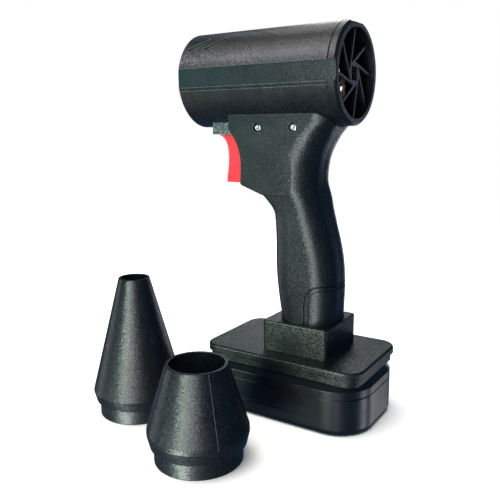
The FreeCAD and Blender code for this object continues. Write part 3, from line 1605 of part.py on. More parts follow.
node(terminal_block(), "terminal_block")
node(terminal_blades(), "terminal_blades")
node(battery_lower_case(), "battery_lower_case")
node(battery_upper_case(), "battery_upper_case")
node(battery_cells(), "battery_cells")
node(cell_holder("holder_left", -1), "cell_holder_left")
node(cell_holder("holder_right", 1), "cell_holder_right")
node(battery_board(), "battery_board")
node(battery_clips(), "battery_clips")
node(case_screws(), "case_screws")
node(battery_latch(), "battery_latch")
node(latch_springs(), "latch_springs")
node(nozzle("narrow", s.narrow_height, s.narrow_tip_radius, None, (-s.narrow_x, -s.narrow_y, 0.0)),
     "narrow_nozzle")
node(nozzle("wide", s.wide_height, s.wide_tip_radius, s.wide_band, (-s.wide_x, -s.wide_y, 0.0)),
     "wide_nozzle")

# Checks and export
doc.recompute()
wrong = [obj.Name for obj in doc.Objects if {"Invalid", "Error"} & set(obj.State)]
wrong += [name for name, obj in NODES if obj.Shape.isNull() or not obj.Shape.isValid()]
if wrong:
    raise RuntimeError("not built: " + ", ".join(wrong))
os.makedirs(OUT, exist_ok=True)
for name, obj in NODES:
    obj.Shape.exportStep(os.path.join(OUT, name + ".step"))
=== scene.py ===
# %% [markdown]
# # A car dryer blower and its two nozzles
# The real thing is a strong hand-held fan that dries a car without touching the
# paint. It stands on its own slide-on battery. Barrel, grip, adapter and nozzles
# come from a 3D printer, and nearly all of it is black, so this lesson is mostly
# about telling one black surface from the next by grain, gloss and light.

# %% Load the frame
import json
import math

import bmesh
import bpy
from mathutils import Matrix, Vector


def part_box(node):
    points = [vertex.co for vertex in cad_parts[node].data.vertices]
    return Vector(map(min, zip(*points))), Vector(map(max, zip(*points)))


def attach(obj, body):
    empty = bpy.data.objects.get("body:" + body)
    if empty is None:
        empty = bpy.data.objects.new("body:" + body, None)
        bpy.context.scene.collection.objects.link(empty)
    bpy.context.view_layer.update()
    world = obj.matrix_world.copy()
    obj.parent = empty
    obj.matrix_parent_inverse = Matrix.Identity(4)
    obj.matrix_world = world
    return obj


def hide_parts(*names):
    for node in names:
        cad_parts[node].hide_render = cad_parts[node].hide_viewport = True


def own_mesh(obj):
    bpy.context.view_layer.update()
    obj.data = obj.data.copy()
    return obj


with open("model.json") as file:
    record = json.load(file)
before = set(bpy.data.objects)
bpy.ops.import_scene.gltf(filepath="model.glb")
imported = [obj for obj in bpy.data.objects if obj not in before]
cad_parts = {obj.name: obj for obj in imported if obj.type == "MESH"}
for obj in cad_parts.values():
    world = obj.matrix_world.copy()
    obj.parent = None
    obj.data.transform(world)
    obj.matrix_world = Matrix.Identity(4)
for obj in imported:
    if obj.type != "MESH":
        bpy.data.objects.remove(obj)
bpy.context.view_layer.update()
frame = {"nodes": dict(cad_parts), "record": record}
MM = 0.001

# %% [markdown]
# ## Camera
# The photograph was taken from close by, a little above the nozzles and turned
# about a third of a right angle round the front. A camera can be placed by hand or
# with a constraint that looks at an empty. Here azimuth, elevation and roll give
# its three directions, the columns of its matrix, so the view is exactly the one
# that the barrel's and the battery's edges were measured with.

# %% Camera
CAMERA_PLACE = Vector((201.91, -376.74, 200.76)) * MM
CAMERA_AZIMUTH = math.radians(32.88)
CAMERA_ELEVATION = math.radians(11.4)
CAMERA_ROLL = math.radians(-0.51)
CAMERA_LENS = 43.81
CAMERA_NEAR = 10 * MM


def direction(azimuth, elevation):
    """The way to something at that azimuth, counted from -Y towards +X, and elevation."""
    level = math.cos(elevation)
    return Vector((math.sin(azimuth) * level, -math.cos(azimuth) * level, math.sin(elevation)))


def facing(backwards, roll=0.0):
    """A turn whose Z looks backwards, as cameras and lights have it, with X level before the roll."""
    across = Vector((0, 0, 1)).cross(backwards).normalized()
    above = backwards.cross(across)
    turn = Matrix((across, above, backwards)).transposed()
    return turn.to_4x4() @ Matrix.Rotation(roll, 4, "Z")


def placed(name, data):
    """A new object with that data, linked into the scene."""
    made = bpy.data.objects.new(name, data)
    bpy.context.scene.collection.objects.link(made)
    return made


camera = placed("camera", bpy.data.cameras.new("camera"))
camera.data.lens = CAMERA_LENS
camera.data.clip_start = CAMERA_NEAR
camera.matrix_world = Matrix.Translation(CAMERA_PLACE) @ facing(
    direction(CAMERA_AZIMUTH, CAMERA_ELEVATION), CAMERA_ROLL)
bpy.context.scene.camera = camera
print("camera at", [round(c, 3) for c in CAMERA_PLACE], "lens", CAMERA_LENS)

# %% [markdown]
# ## One helper for every node tree
# Materials, the world and Geometry Nodes are all trees of nodes. Each node is a
# kind, a few settings, and sockets that hold a value or a link. One small function
# does that for all of them, and another turns a paint chart's hex colour to the
# linear numbers that light is added up in.

# %% Tree helpers


def linear(hex_colour):
    """The linear red, green, blue and alpha of a hex colour, by the curve of the sRGB standard."""
    channels = [int(hex_colour[i:i + 2], 16) / 255 for i in (1, 3, 5)]
    return tuple(c / 12.92 if c <= 0.04045 else ((c + 0.055) / 1.055) ** 2.4 for c in channels) + (1,)


def add(tree, kind, sockets=None, **settings):
    """Adds a node with its own settings and its inputs: values, sockets, or nodes for their first output."""
    node = tree.nodes.new(kind)
    for name, value in settings.items():
        setattr(node, name, value)
    for name, value in (sockets or {}).items():
        source = value.outputs[0] if isinstance(value, bpy.types.Node) else value
        if isinstance(source, bpy.types.NodeSocket):
            tree.links.new(source, node.inputs[name])
        else:
            node.inputs[name].default_value = source
    return node


def begin(name):
    """A new, empty material. Gives it, its tree and its Object coordinates."""
    material = bpy.data.materials.new(name)
    material.use_nodes = True
    material.node_tree.nodes.clear()
    place = add(material.node_tree, "ShaderNodeTexCoord").outputs["Object"]
    return material, material.node_tree, place


def end(material, sockets):
    """Closes a material with one Principled shader and the output."""
    shader = add(material.node_tree, "ShaderNodeBsdfPrincipled", sockets)
    add(material.node_tree, "ShaderNodeOutputMaterial", {"Surface": shader})
    return material


print("linear #808080 is", round(linear("#808080")[0], 4))

# %% [markdown]
# ## Noise and relief
# Three things come back in every finish: blotches of some size, a roughness that
# wanders with them, and a bump. The Bevel node rounds the light on hard edges,
# which no printer or mould leaves sharp. A Bevel modifier could do it too, but the
# shader's way leaves the frame's mesh as it is.

# %% Noise and relief
NOISE_LOW = 0.3
NOISE_HIGH = 0.7
BEVEL_SAMPLES = 4


def noise(tree, place, size, detail=2.0):
    """A noise whose blotches are about this many millimetres wide."""
    return add(tree, "ShaderNodeTexNoise", {"Vector": place, "Scale": 1 / (size * MM), "Detail": detail})


def uneven(tree, blotches, rough, spread):
    """A roughness that wanders with the blotches, from so much under its value to so much over it."""
    return add(tree, "ShaderNodeMapRange", {
        "Value": blotches, "From Min": NOISE_LOW, "From Max": NOISE_HIGH,
        "To Min": rough - spread[0], "To Max": rough + spread[1]})


def relief(tree, height, strength, depth, edge):
    """A bump over rounded edges, with its depth and the edge's rounding in millimetres."""
    round_edge = add(tree, "ShaderNodeBevel", {"Radius": edge * MM}, samples=BEVEL_SAMPLES)
    return add(tree, "ShaderNodeBump", {
        "Strength": strength, "Distance": depth * MM, "Height": height, "Normal": round_edge})


print("noise is read from", NOISE_LOW, "to", NOISE_HIGH)

# %% [markdown]
# ## Printed plastic
# The housing is PLA filament with a little glitter in it, laid down in layers of
# about 0.2 mm. Up close that gives a black that is never quite black, fine flecks
# that catch the light one by one, and faint lines where the layers meet. A single
# noise would make it look like rubber, so each is made apart: Voronoi cells for the
# flecks, each with its own tint and small tilt, and a wave for the layers. Both are
# drawn coarser than they are, because a pixel of the picture is about 0.7 mm wide.
# Each finish goes into one table, under the slot that the frame's parts name.

# %% Printed plastic
# The wave texture's own wavelength at scale 1.
LAYER_WAVE = 0.31416
LAYER_HEIGHT = 1.4
LAYER_WOBBLE = 0.3
CLOUD_SIZE = 14
PRINT_UNEVEN = (0.03, 0.04)
PRINT_STRENGTH = 0.35
PRINT_DEPTH = 0.04
PRINT_IOR = 1.46
FLECK_GLOSS = -0.12
FLECK_HEIGHT = 0.5
CELL_MIDDLE = (0.5, 0.5, 0.5)


def printed_plastic(name, base, fleck, rough, grain=0.45, share=0.2, tilt=0.12, edge=0.5, axis="Z"):
    """Black filament: base and fleck colours, and the grain's and the edge's sizes in millimetres."""
    material, tree, place = begin(name)
    cells = add(tree, "ShaderNodeTexVoronoi", {"Vector": place, "Scale": 1 / (grain * MM)}).outputs["Color"]
    lots = add(tree, "ShaderNodeSeparateColor", {"Color": cells}).outputs
    chosen = add(tree, "ShaderNodeMapRange", {"Value": lots["Red"], "From Min": 1 - share, "From Max": 1.0})
    tint = add(tree, "ShaderNodeMix", {0: chosen, 6: linear(base), 7: linear(fleck)}, data_type="RGBA")
    shade = uneven(tree, noise(tree, place, CLOUD_SIZE), rough, PRINT_UNEVEN)
    glint = add(tree, "ShaderNodeMath", {0: chosen, 1: FLECK_GLOSS, 2: shade}, operation="MULTIPLY_ADD")
    waves = add(tree, "ShaderNodeTexWave", {
        "Vector": place, "Scale": LAYER_WAVE / (LAYER_HEIGHT * MM), "Distortion": LAYER_WOBBLE},
        bands_direction=axis)
    height = add(tree, "ShaderNodeMath", {0: lots["Green"], 1: FLECK_HEIGHT, 2: waves.outputs["Fac"]},
                 operation="MULTIPLY_ADD")
    bump = relief(tree, height, PRINT_STRENGTH, PRINT_DEPTH, edge)
    lean = add(tree, "ShaderNodeVectorMath", {0: cells, 1: CELL_MIDDLE}, operation="SUBTRACT")
    facet = add(tree, "ShaderNodeVectorMath", {0: lean, 1: (tilt, tilt, tilt), 2: bump},
                operation="MULTIPLY_ADD")
    normal = add(tree, "ShaderNodeVectorMath", {0: facet}, operation="NORMALIZE")
    return end(material, {
        "Base Color": tint.outputs[2], "Roughness": glint, "IOR": PRINT_IOR, "Normal": normal})


finishes = {
    "black_print": printed_plastic(
        "glitter_pla_barrel", "#0a0b0d", "#2c3031", 0.36, tilt=0.18, edge=0.25, axis="X"),
    "grip_print": printed_plastic("glitter_pla_grip", "#0a0c0d", "#2d3333", 0.38, tilt=0.19, edge=1.4),
    "adapter_print": printed_plastic(
        "coarse_pla_adapter", "#0d1010", "#353b39", 0.42, grain=0.55, tilt=0.26, edge=1.0),
    "nozzle_print": printed_plastic("glitter_pla_nozzle", "#0a0b0d", "#2a2e30", 0.34, tilt=0.2),
    "duct_print": printed_plastic("plain_pla_duct", "#232427", "#3a3b40", 0.5, share=0.12, tilt=0.1),
}
# The lips' lighter grey is a painted highlight: it stands for the bright hairline that a lip catches.
lips_painted_highlight = printed_plastic("pla_print_lips", "#39403f", "#6b7673", 0.4, axis="X")
# The block over the trigger is rougher and coarser, and its much lighter grey is painted light, for light
# that the lamps don't bring to it.
shroud_painted_light_print = printed_plastic(
    "rough_pla_shroud", "#2a3232", "#75827f", 0.5, grain=0.7, share=0.4, tilt=0.3)
print("printed plastics:", [finish.name for finish in finishes.values()])

# %% [markdown]
# ## Moulded plastic
# The battery's case, the latch, the switch and the trigger are injection moulded.
# ABS from a spark-eroded mould has an even, very fine grain and a soft sheen. One
# function makes them all from a colour, a roughness and the depth of the mould's
# grain. A slow noise in the roughness stands for the marks of hands, which keeps a
# large smooth side from looking drawn.

# %% Moulded plastic
MOULD_GRAIN = 0.5
MOULD_STRENGTH = 0.5
MOULD_UNEVEN = (0.04, 0.05)
PORE_DARKEST = 0.9
PORE_BRIGHTEST = 1.1
HAND_MARK = 18


def moulded_plastic(name, base, rough, depth=0.02, edge=0.5, ior=1.53):
    """Moulded plastic, with its grain's depth and the edge's rounding in millimetres."""
    material, tree, place = begin(name)
    pores = noise(tree, place, MOULD_GRAIN)
    shade = add(tree, "ShaderNodeMapRange", {
        "Value": pores, "To Min": PORE_DARKEST, "To Max": PORE_BRIGHTEST})
    tint = add(tree, "ShaderNodeHueSaturation", {"Color": linear(base), "Value": shade})
    gloss = uneven(tree, noise(tree, place, HAND_MARK, 3.0), rough, MOULD_UNEVEN)
    bump = relief(tree, pores, MOULD_STRENGTH, depth, edge)
    return end(material, {"Base Color": tint, "Roughness": gloss, "IOR": ior, "Normal": bump})


# Each is (name, colour, roughness, depth of the grain, rounding of the edge, IOR).
MOULDED = {
    "case_black": ("moulded_abs_battery_case", "#0c0d0e", 0.34),
    "latch_black": ("moulded_abs_latch", "#1b1c1e", 0.45),
    "trigger_red": ("satin_red_abs_trigger", "#cf1824", 0.42, 0.01),
    "switch_black": ("moulded_nylon_switch", "#1a1a1b", 0.5),
    "holder_black": ("moulded_nylon_holders", "#1d1d1e", 0.55),
    "impeller_plastic": ("glass_filled_nylon_impeller", "#1f2022", 0.38, 0.02, 0.2),
    "chip_black": ("moulded_epoxy_chips", "#17181a", 0.6, 0.02, 0.1),
    "cell_wrap": ("shrink_film_cells", "#1f4f84", 0.28, 0.005),
    "capacitor_sleeve": ("shrink_film_capacitors", "#16171c", 0.25, 0.005),
    "lead_red": ("silicone_red_lead", "#a31515", 0.55, 0.02, 0.1, 1.41),
    "lead_black": ("silicone_black_lead", "#1a1a1a", 0.55, 0.02, 0.1, 1.41),
    "lead_grey": ("silicone_grey_lead", "#3a3b3d", 0.55, 0.02, 0.1, 1.41),
}
for slot, row in MOULDED.items():
    finishes[slot] = moulded_plastic(*row)
print("moulded plastics:", len(MOULDED))

# %% [markdown]
# ## Metals
# Steel, aluminium, copper, nickel and brass differ in colour and in how they were
# worked: turned and ground parts carry rings, pressed ones a brushed run. Here the
# tool marks are a noise that can be drawn out along a direction, and it moves both
# the roughness and the bump. A metal keeps the shader's default IOR, because its
# colour is its reflection.

# %% Metals
TOOL_MARK = 0.3
METAL_STRENGTH = 0.4
METAL_DEPTH = 0.01
METAL_EDGE = 0.15
METAL_UNEVEN = (0.06, 0.08)


def worked_metal(name, base, rough, stretch=(1, 1, 1)):
    """A metal whose tool marks are drawn out along the axes where stretch is small."""
    material, tree, place = begin(name)
    drawn = add(tree, "ShaderNodeMapping", {"Vector": place, "Scale": stretch})
    marks = noise(tree, drawn, TOOL_MARK, 3.0)
    gloss = uneven(tree, marks, rough, METAL_UNEVEN)
    bump = relief(tree, marks, METAL_STRENGTH, METAL_DEPTH, METAL_EDGE)
    return end(material, {"Base Color": linear(base), "Metallic": 1.0, "Roughness": gloss, "Normal": bump})


# Each is (name, colour, roughness, stretch).
METALS = {
    "screw_steel": ("zinc_plated_steel_screws", "#e8e4dc", 0.24),
    "shaft_steel": ("ground_steel_shaft", "#c3c5c8", 0.22, (1, 0.1, 0.1)),
    "spring_steel": ("drawn_steel_springs", "#b4b6b9", 0.3),
    "motor_aluminium": ("turned_aluminium_motor", "#c4c7cb", 0.32, (1, 0.1, 0.1)),
    "sink_aluminium": ("extruded_aluminium_sink", "#a7abb0", 0.45, (0.08, 1, 1)),
    "winding_copper": ("enamelled_copper_wire", "#b8653a", 0.35),
    "magnet_nickel": ("nickel_plated_magnets", "#a9a8a3", 0.25),
    "contact_brass": ("rolled_brass_contacts", "#c9a25e", 0.3, (0.1, 1, 1)),
}
for slot, row in METALS.items():
    finishes[slot] = worked_metal(*row)
can_aluminium = worked_metal("drawn_aluminium_can", "#f2ecdd", 0.5)
print("metals:", len(METALS), "and", can_aluminium.name)

# %% [markdown]
# ## Circuit board
# The controller's board is glass cloth in epoxy under a green-blue solder mask. The
# mask is glossy, and the copper tracks lift it a little, in straight runs with gaps
# about 1.2 mm apart. A brick pattern whose bricks are long gives such runs without
# drawing each one: its gaps are the bare mask, and its bricks the tracks beneath.

# %% Circuit board
TRACK_PITCH = 1.2
TRACK_LENGTH = 7.0
TRACK_GAP = 0.12
TRACK_DEPTH = 0.05
TRACK_STRENGTH = 0.6
MASK_ROUGHNESS = 0.22
MASK_IOR = 1.55
BARE_MASK = linear("#14605c")
MASK_OVER_TRACK = linear("#2b8a80")

board_mask, board_tree, board_place = begin("solder_mask_board")
tracks = add(board_tree, "ShaderNodeTexBrick", {
    "Vector": board_place, "Color1": MASK_OVER_TRACK, "Color2": BARE_MASK, "Mortar": BARE_MASK,
    "Scale": 1 / (TRACK_PITCH * MM), "Mortar Size": TRACK_GAP, "Brick Width": TRACK_LENGTH,
    "Row Height": 1.0})
track_bump = add(board_tree, "ShaderNodeBump", {
    "Strength": TRACK_STRENGTH, "Distance": TRACK_DEPTH * MM, "Height": tracks.outputs["Fac"]}, invert=True)
finishes["board_teal"] = end(board_mask, {
    "Base Color": tracks, "Roughness": MASK_ROUGHNESS, "IOR": MASK_IOR, "Normal": track_bump})
print("board mask:", board_mask.name)

# %% [markdown]
# ## Finishes onto the frame
# Every part of the frame names a material slot in its record, and the table of
# finishes has one for each, so a part can't be missed: the loop goes through the
# record, not through a list written by hand. The block over the trigger was printed
# rougher than the barrel, though both have one slot, so it is set by itself. Its
# much lighter grey is painted light: it stands in for light that the lamps don't
# bring to it.

# %% Finishes onto the frame
for part in frame["record"]["subparts"]:
    for slot_of_part in frame["nodes"][part["node"]].material_slots:
        slot_of_part.material = finishes[part["material_slot"]]
# This finish carries painted light: a lighter grey in place of light that doesn't reach the block.
frame["nodes"]["trigger_shroud"].material_slots[0].material = shroud_painted_light_print

# %% [markdown]
# ## A lathe in code
# Screws, cans and hubs are turned parts. Blender's Screw modifier would spin a
# profile, but only with one radius at every angle. This lathe lets a radius be a
# function of the angle, row by row, so one call makes a hexagon socket, a knurled
# head and a real helical thread. Poles are single points and rings share their
# corners, so each shape is closed.

# %% Lathe


def skin(shape, rings):
    """Joins each ring of corners to the next one. A pole is a ring that repeats one corner."""
    for low, high in zip(rings, rings[1:]):
        for step in range(len(low)):
            ahead = (step + 1) % len(low)
            corners = dict.fromkeys((low[step], low[ahead], high[ahead], high[step]))
            if len(corners) > 2:
                shape.faces.new(list(corners))


def as_mesh(name, shape):
    """Turns a bmesh into a mesh and frees it."""
    mesh = bpy.data.meshes.new(name)
    shape.to_mesh(mesh)
    shape.free()
    return mesh


def turned(name, rows, sides, axis_turn=Matrix.Identity(4)):
    """A closed mesh round Z from rows of (radius, height) in millimetres, the radius perhaps by angle."""
    shape = bmesh.new()
    rings = []
    for radius, height in rows:
        if radius == 0:
            rings.append([shape.verts.new((0, 0, height * MM))] * sides)
            continue
        ring = []
        for step in range(sides):
            angle = math.tau * step / sides
            reach = (radius(angle) if callable(radius) else radius) * MM
            ring.append(shape.verts.new((reach * math.cos(angle), reach * math.sin(angle), height * MM)))
        rings.append(ring)
    skin(shape, rings)
    bmesh.ops.recalc_face_normals(shape, faces=shape.faces)
    shape.transform(axis_turn)
    return as_mesh(name, shape)


def hexagon(flat_radius):
    """The radius of a hexagon at an angle."""
    return lambda angle: flat_radius / math.cos(angle % (math.pi / 3) - math.pi / 6)


def knurl(radius, depth, count):
    """The radius of a wavy rim at an angle."""
    return lambda angle: radius - depth * (0.5 - 0.5 * math.cos(count * angle))


print("hexagon 1.1 mm flat reaches", round(hexagon(1.1)(0), 3), "mm at its corner")

# %% [markdown]
# ## Where the screws are
# The frame already holds every screw as a plain solid. Its loose solids are found by
# merging a copy of the mesh and walking over its edges, and each one's box gives the
# middle of the head and the way it faces. So no place is typed in twice, and a
# screw that moves in the frame takes its dressed one along.

# %% Loose solids of a part
MERGE_DISTANCE = 0.002 * MM


def loose_boxes(node):
    """The lowest and highest corner of each loose solid in a part of the frame."""
    shape = bmesh.new()
    shape.from_mesh(frame["nodes"][node].data)
    bmesh.ops.remove_doubles(shape, verts=shape.verts, dist=MERGE_DISTANCE)
    left = set(shape.verts)
    found = []
    while left:
        front = [left.pop()]
        island = []
        while front:
            corner = front.pop()
            island.append(corner.co.copy())
            for edge in corner.link_edges:
                other = edge.other_vert(corner)
                if other in left:
                    left.remove(other)
                    front.append(other)
        found.append((Vector(map(min, zip(*island))), Vector(map(max, zip(*island)))))
    shape.free()
    return sorted(found, key=lambda box: tuple(round(c, 5) for c in box[0]))


def screw_heads(node, looks):
    """Each screw's place at the top of its head, the way it faces, sideways if none is given, and length."""
    heads = []
    for low, high in loose_boxes(node):
        middle = (low + high) / 2
        way = Vector(looks) if looks else Vector((0, math.copysign(1, middle.y), 0))
        reach = abs((high - low).dot(way)) / 2
        heads.append((middle + way * reach, way, reach * 2))
    return heads


print("grip screws at", [[round(c, 4) for c in head[0]] for head in screw_heads("grip_screws", None)])

# %% [markdown]
# ## Meshes out of Geometry Nodes
# What repeats or follows a path is grown by a tree of nodes with named inputs, which
# ends in real geometry with its material set. A modifier runs it on a mesh, and the
# result is read back as a plain mesh, so nothing is left to compute when the piece
# is rendered or exported.

# %% Growing a mesh


def new_tree(name, **kinds):
    """A Geometry Nodes tree with named inputs, the material last. Gives it and its inputs."""
    tree = bpy.data.node_groups.new(name, "GeometryNodeTree")
    tree.interface.new_socket("Geometry", in_out="OUTPUT", socket_type="NodeSocketGeometry")
    for label, kind in {**kinds, "Material": "Material"}.items():
        tree.interface.new_socket(label, in_out="INPUT", socket_type="NodeSocket" + kind)
    return tree, add(tree, "NodeGroupInput").outputs


def pattern(tree, source):
    """The geometry of the object that one of a tree's inputs holds."""
    info = add(tree, "GeometryNodeObjectInfo", {"Object": source}, transform_space="ORIGINAL")
    return info.outputs["Geometry"]


def close_tree(tree, given, geometry):
    """Ends a tree in real geometry with the given material."""
    real = add(tree, "GeometryNodeRealizeInstances", {"Geometry": geometry})
    painted = add(tree, "GeometryNodeSetMaterial", {"Geometry": real, "Material": given["Material"]})
    add(tree, "NodeGroupOutput", {0: painted})


def listed(name, points, edges=(), faces=()):
    """A mesh out of lists of points, edges and faces."""
    mesh = bpy.data.meshes.new(name)
    mesh.from_pydata(points, edges, faces)
    return mesh


def grown(name, start, tree, **values):
    """Runs a tree on a mesh and gives a plain object. A mesh among the values goes in as an object."""
    maker = placed(name + "_maker", start)
    modifier = maker.modifiers.new("grow", "NODES")
    modifier.node_group = tree
    patterns = {label: placed(name + "_pattern", value) for label, value in values.items()
                if isinstance(value, bpy.types.Mesh)}
    for item in tree.interface.items_tree:
        if item.in_out == "INPUT" and item.name in values:
            modifier[item.identifier] = patterns.get(item.name, values[item.name])
    bpy.context.view_layer.update()
    graph = bpy.context.evaluated_depsgraph_get()
    mesh = bpy.data.meshes.new_from_object(maker.evaluated_get(graph))
    mesh.name = name
    for helper in (maker, *patterns.values()):
        bpy.data.objects.remove(helper)
    return placed(name, mesh)


def dressed(name, start, tree, body, slot, nodes=(), material=None, smooth=True, **values):
    """A grown piece, in its slot's finish or another, with its body and the nodes that it stands for."""
    piece = grown(name, start, tree, Material=material or finishes[slot], **values)
    if smooth:
        piece.data.shade_smooth()
    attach(piece, body)
    if nodes:
        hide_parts(*nodes)
    print(name, "rides on", body, "with", len(piece.data.polygons), "faces")
    return piece


print("helpers:", [h.__name__ for h in (new_tree, pattern, close_tree, listed, grown, dressed)])

# %% [markdown]
# ## Copies on points
# Fasteners repeat, so they are one mesh and a list of points. The tree puts a copy
# on each point, turns its axis along the point's own direction and spins it by a
# random angle, because no one drives two screws to the same mark. A fixed seed
# gives the same turns on every run.

# %% Copies on points
SPIN_SEED = 7

copies, given = new_tree("copies_on_points", Points="Geometry", Shape="Object", Spin="Float")
way_in = add(copies, "GeometryNodeInputNamedAttribute", {"Name": "way"}, data_type="FLOAT_VECTOR")
aimed = add(copies, "FunctionNodeAlignRotationToVector", {"Vector": way_in}, axis="Z")
chance = add(copies, "FunctionNodeRandomValue", {"Seed": SPIN_SEED}, data_type="FLOAT")
angle_in = add(copies, "ShaderNodeMath", {0: chance.outputs[1], 1: given["Spin"]}, operation="MULTIPLY")
spin = add(copies, "FunctionNodeAxisAngleToRotation", {"Axis": (0, 0, 1), "Angle": angle_in})
driven = add(copies, "FunctionNodeRotateRotation", {0: aimed, 1: spin}, rotation_space="LOCAL")
put = add(copies, "GeometryNodeInstanceOnPoints", {
    "Points": given["Points"], "Instance": pattern(copies, given["Shape"]), "Rotation": driven})
close_tree(copies, given, put)
print("tree", copies.name, "with", len(copies.nodes), "nodes")


def copied(name, mesh, places, ways, body, slot, nodes=(), spin=0.0, **looks):
    """Copies of a mesh on points, each facing its own way, as one dressed piece."""
    points = listed(name + "_points", [tuple(place) for place in places])
    points.attributes.new("way", "FLOAT_VECTOR", "POINT").data.foreach_set(
        "vector", [c for way in ways for c in way])
    return dressed(name, points, copies, body, slot, nodes, Shape=mesh, Spin=spin, **looks)

# %% [markdown]
# ## The socket screws
# These are ISO 4762 style screws of 2.8 mm, with a hexagon socket, a knurled head
# with a soft chamfer and a coarse thread that cuts its own way in plastic. The
# thread is a rim whose crest runs once round per pitch as the height falls, so it
# is a true helix and not a stack of rings.

# %% Socket screws
SHANK_CREST = 1.4
SHANK_ROOT = 1.08
THREAD_PITCH = 1.0
THREAD_STEP = THREAD_PITCH / 4
THREAD_SHARPNESS = 1.6
NECK = 0.9
TIP_LENGTH = 1.0
HEAD_RADIUS = 2.25
HEAD_EDGE = 0.28
KNURLED_RIM = knurl(HEAD_RADIUS, 0.12, 24)
SOCKET_FLAT = 1.05
SOCKET_RIM = 0.32
SOCKET_DEPTH = 1.2
SCREW_SIDES = 24
# Each is (body, height of the head, the way the heads face). The grip's heads face sideways.
SCREWS = {
    "grip_screws": ("housing", 2.0, None),
    "adapter_screws": ("housing", 2.0, (0, 0, -1)),
    "case_screws": ("battery", 2.0, (0, 0, -1)),
    "motor_screws": ("housing", 1.2, (1, 0, 0)),
}


def thread(height):
    """The rim of a thread at a height: a ridge that is one pitch lower for each turn."""
    def reach(angle):
        phase = (height / THREAD_PITCH - angle / math.tau) % 1.0
        ridge = max(0.0, 1 - abs(2 * phase - 1) * THREAD_SHARPNESS)
        return SHANK_ROOT + (SHANK_CREST - SHANK_ROOT) * ridge
    return reach


def socket_screw(name, head_height, length):
    """A socket screw whose head's top is at height 0 and whose shank hangs below it, in millimetres."""
    rows = [(0, -SOCKET_DEPTH), (hexagon(SOCKET_FLAT), -SOCKET_DEPTH + 0.05), (hexagon(SOCKET_FLAT), -0.16),
            (SOCKET_FLAT + SOCKET_RIM, 0), (HEAD_RADIUS - HEAD_EDGE, 0),
            (HEAD_RADIUS - HEAD_EDGE / 4, -HEAD_EDGE / 3), (HEAD_RADIUS, -HEAD_EDGE),
            (KNURLED_RIM, -HEAD_EDGE - 0.1), (KNURLED_RIM, 0.2 - head_height),
            (HEAD_RADIUS - 0.2, -head_height), (SHANK_CREST, -head_height), (SHANK_ROOT, -head_height - 0.6)]
    low = TIP_LENGTH - length
    steps = int((-head_height - NECK - low) / THREAD_STEP)
    for i in range(steps + 1):
        height = -head_height - NECK - i * THREAD_STEP
        rows.append((thread(height), height))
    rows += [(SHANK_ROOT, low - 0.3), (0.7, -length + 0.1), (0, -length)]
    return turned(name, rows, SCREW_SIDES)


for node, (body, head_height, looks) in SCREWS.items():
    places, ways, lengths = zip(*screw_heads(node, looks))
    screw_mesh = socket_screw(node + "_one", head_height, lengths[0] / MM)
    copied(node + "_dressed", screw_mesh, places, ways, body, "screw_steel", [node], spin=math.tau,
           smooth=False)

# %% [markdown]
# ## A blade of the impeller
# A moulded nylon fan wheel is a hub with nine blades that are thicker at the root
# and twist towards the tip, which moves faster through the air. The frame holds
# flat slabs, which turn and collide as well as real blades do. A blade could be bent
# from a plane; here it is lofted from wing sections in plain mesh code, so that its
# camber and its twist are numbers.

# %% One blade
BLADE_STATIONS = 6
SECTION_POINTS = 18
SECTION_FULLNESS = 2.6
ROOT_PITCH = math.radians(38)
TIP_PITCH = math.radians(50)
ROOT_THICKNESS = 1.7
TIP_THICKNESS = 0.9
ROOT_SINK = 0.8
CHORD_ROOM = 2.4
CHORD_LOSS = 1.2
TIP_TAPER = 0.12
CAMBER = 0.09
HUB_RADIUS = 13.5
BLADE_MERGE = 0.001 * MM

wheel_low, wheel_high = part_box("impeller")
wheel_middle = (wheel_low + wheel_high) / 2
wheel_length = (wheel_high.x - wheel_low.x) / MM
tip_radius = (wheel_high.z - wheel_low.z) / 2 / MM


def wing_section(chord, thickness):
    """The closed outline of a cambered wing section: pairs of chordwise and upward distance."""
    outline = []
    for step in range(SECTION_POINTS):
        turn = math.tau * step / SECTION_POINTS
        along = 0.5 - 0.5 * math.cos(turn)
        swell = thickness / 2 * SECTION_FULLNESS * math.sqrt(along) * (1 - along)
        arch = CAMBER * chord * 4 * along * (1 - along)
        outline.append(((along - 0.5) * chord, arch + math.copysign(swell, math.sin(turn))))
    return outline


def fan_blade():
    """A blade that stands along Z, with its chord turned from X towards Y by the pitch."""
    shape = bmesh.new()
    rings = []
    for station in range(BLADE_STATIONS):
        share = station / (BLADE_STATIONS - 1)
        radius = HUB_RADIUS - ROOT_SINK + (tip_radius - HUB_RADIUS + ROOT_SINK) * share
        pitch = ROOT_PITCH + (TIP_PITCH - ROOT_PITCH) * share
        chord = (wheel_length - CHORD_ROOM - CHORD_LOSS * share) / math.cos(pitch) * (1 - TIP_TAPER * share)
        ring = []
        for x, y in wing_section(chord, ROOT_THICKNESS + (TIP_THICKNESS - ROOT_THICKNESS) * share):
            height = math.sqrt(max(radius ** 2 - (x * math.sin(pitch)) ** 2, 0))
            ring.append(shape.verts.new((MM * (x * math.cos(pitch) - y * math.sin(pitch)),
                                         MM * (x * math.sin(pitch) + y * math.cos(pitch)), MM * height)))
        rings.append(ring)
    skin(shape, rings)
    shape.faces.new(rings[0])
    shape.faces.new(rings[-1])
    bmesh.ops.remove_doubles(shape, verts=shape.verts, dist=BLADE_MERGE)
    bmesh.ops.recalc_face_normals(shape, faces=shape.faces)
    return as_mesh("fan_blade", shape)


blade_mesh = fan_blade()
print("tip", round(tip_radius, 1), "mm; blade faces", len(blade_mesh.polygons))

# %% [markdown]
# ## The wheel
# The hub is hollowed at the front to save weight and sits on the motor's shaft. The
# tree turns the blade round the axis as often as the wheel has blades and joins the
# ring to the hub. An Array modifier would need an empty turned to match its count.

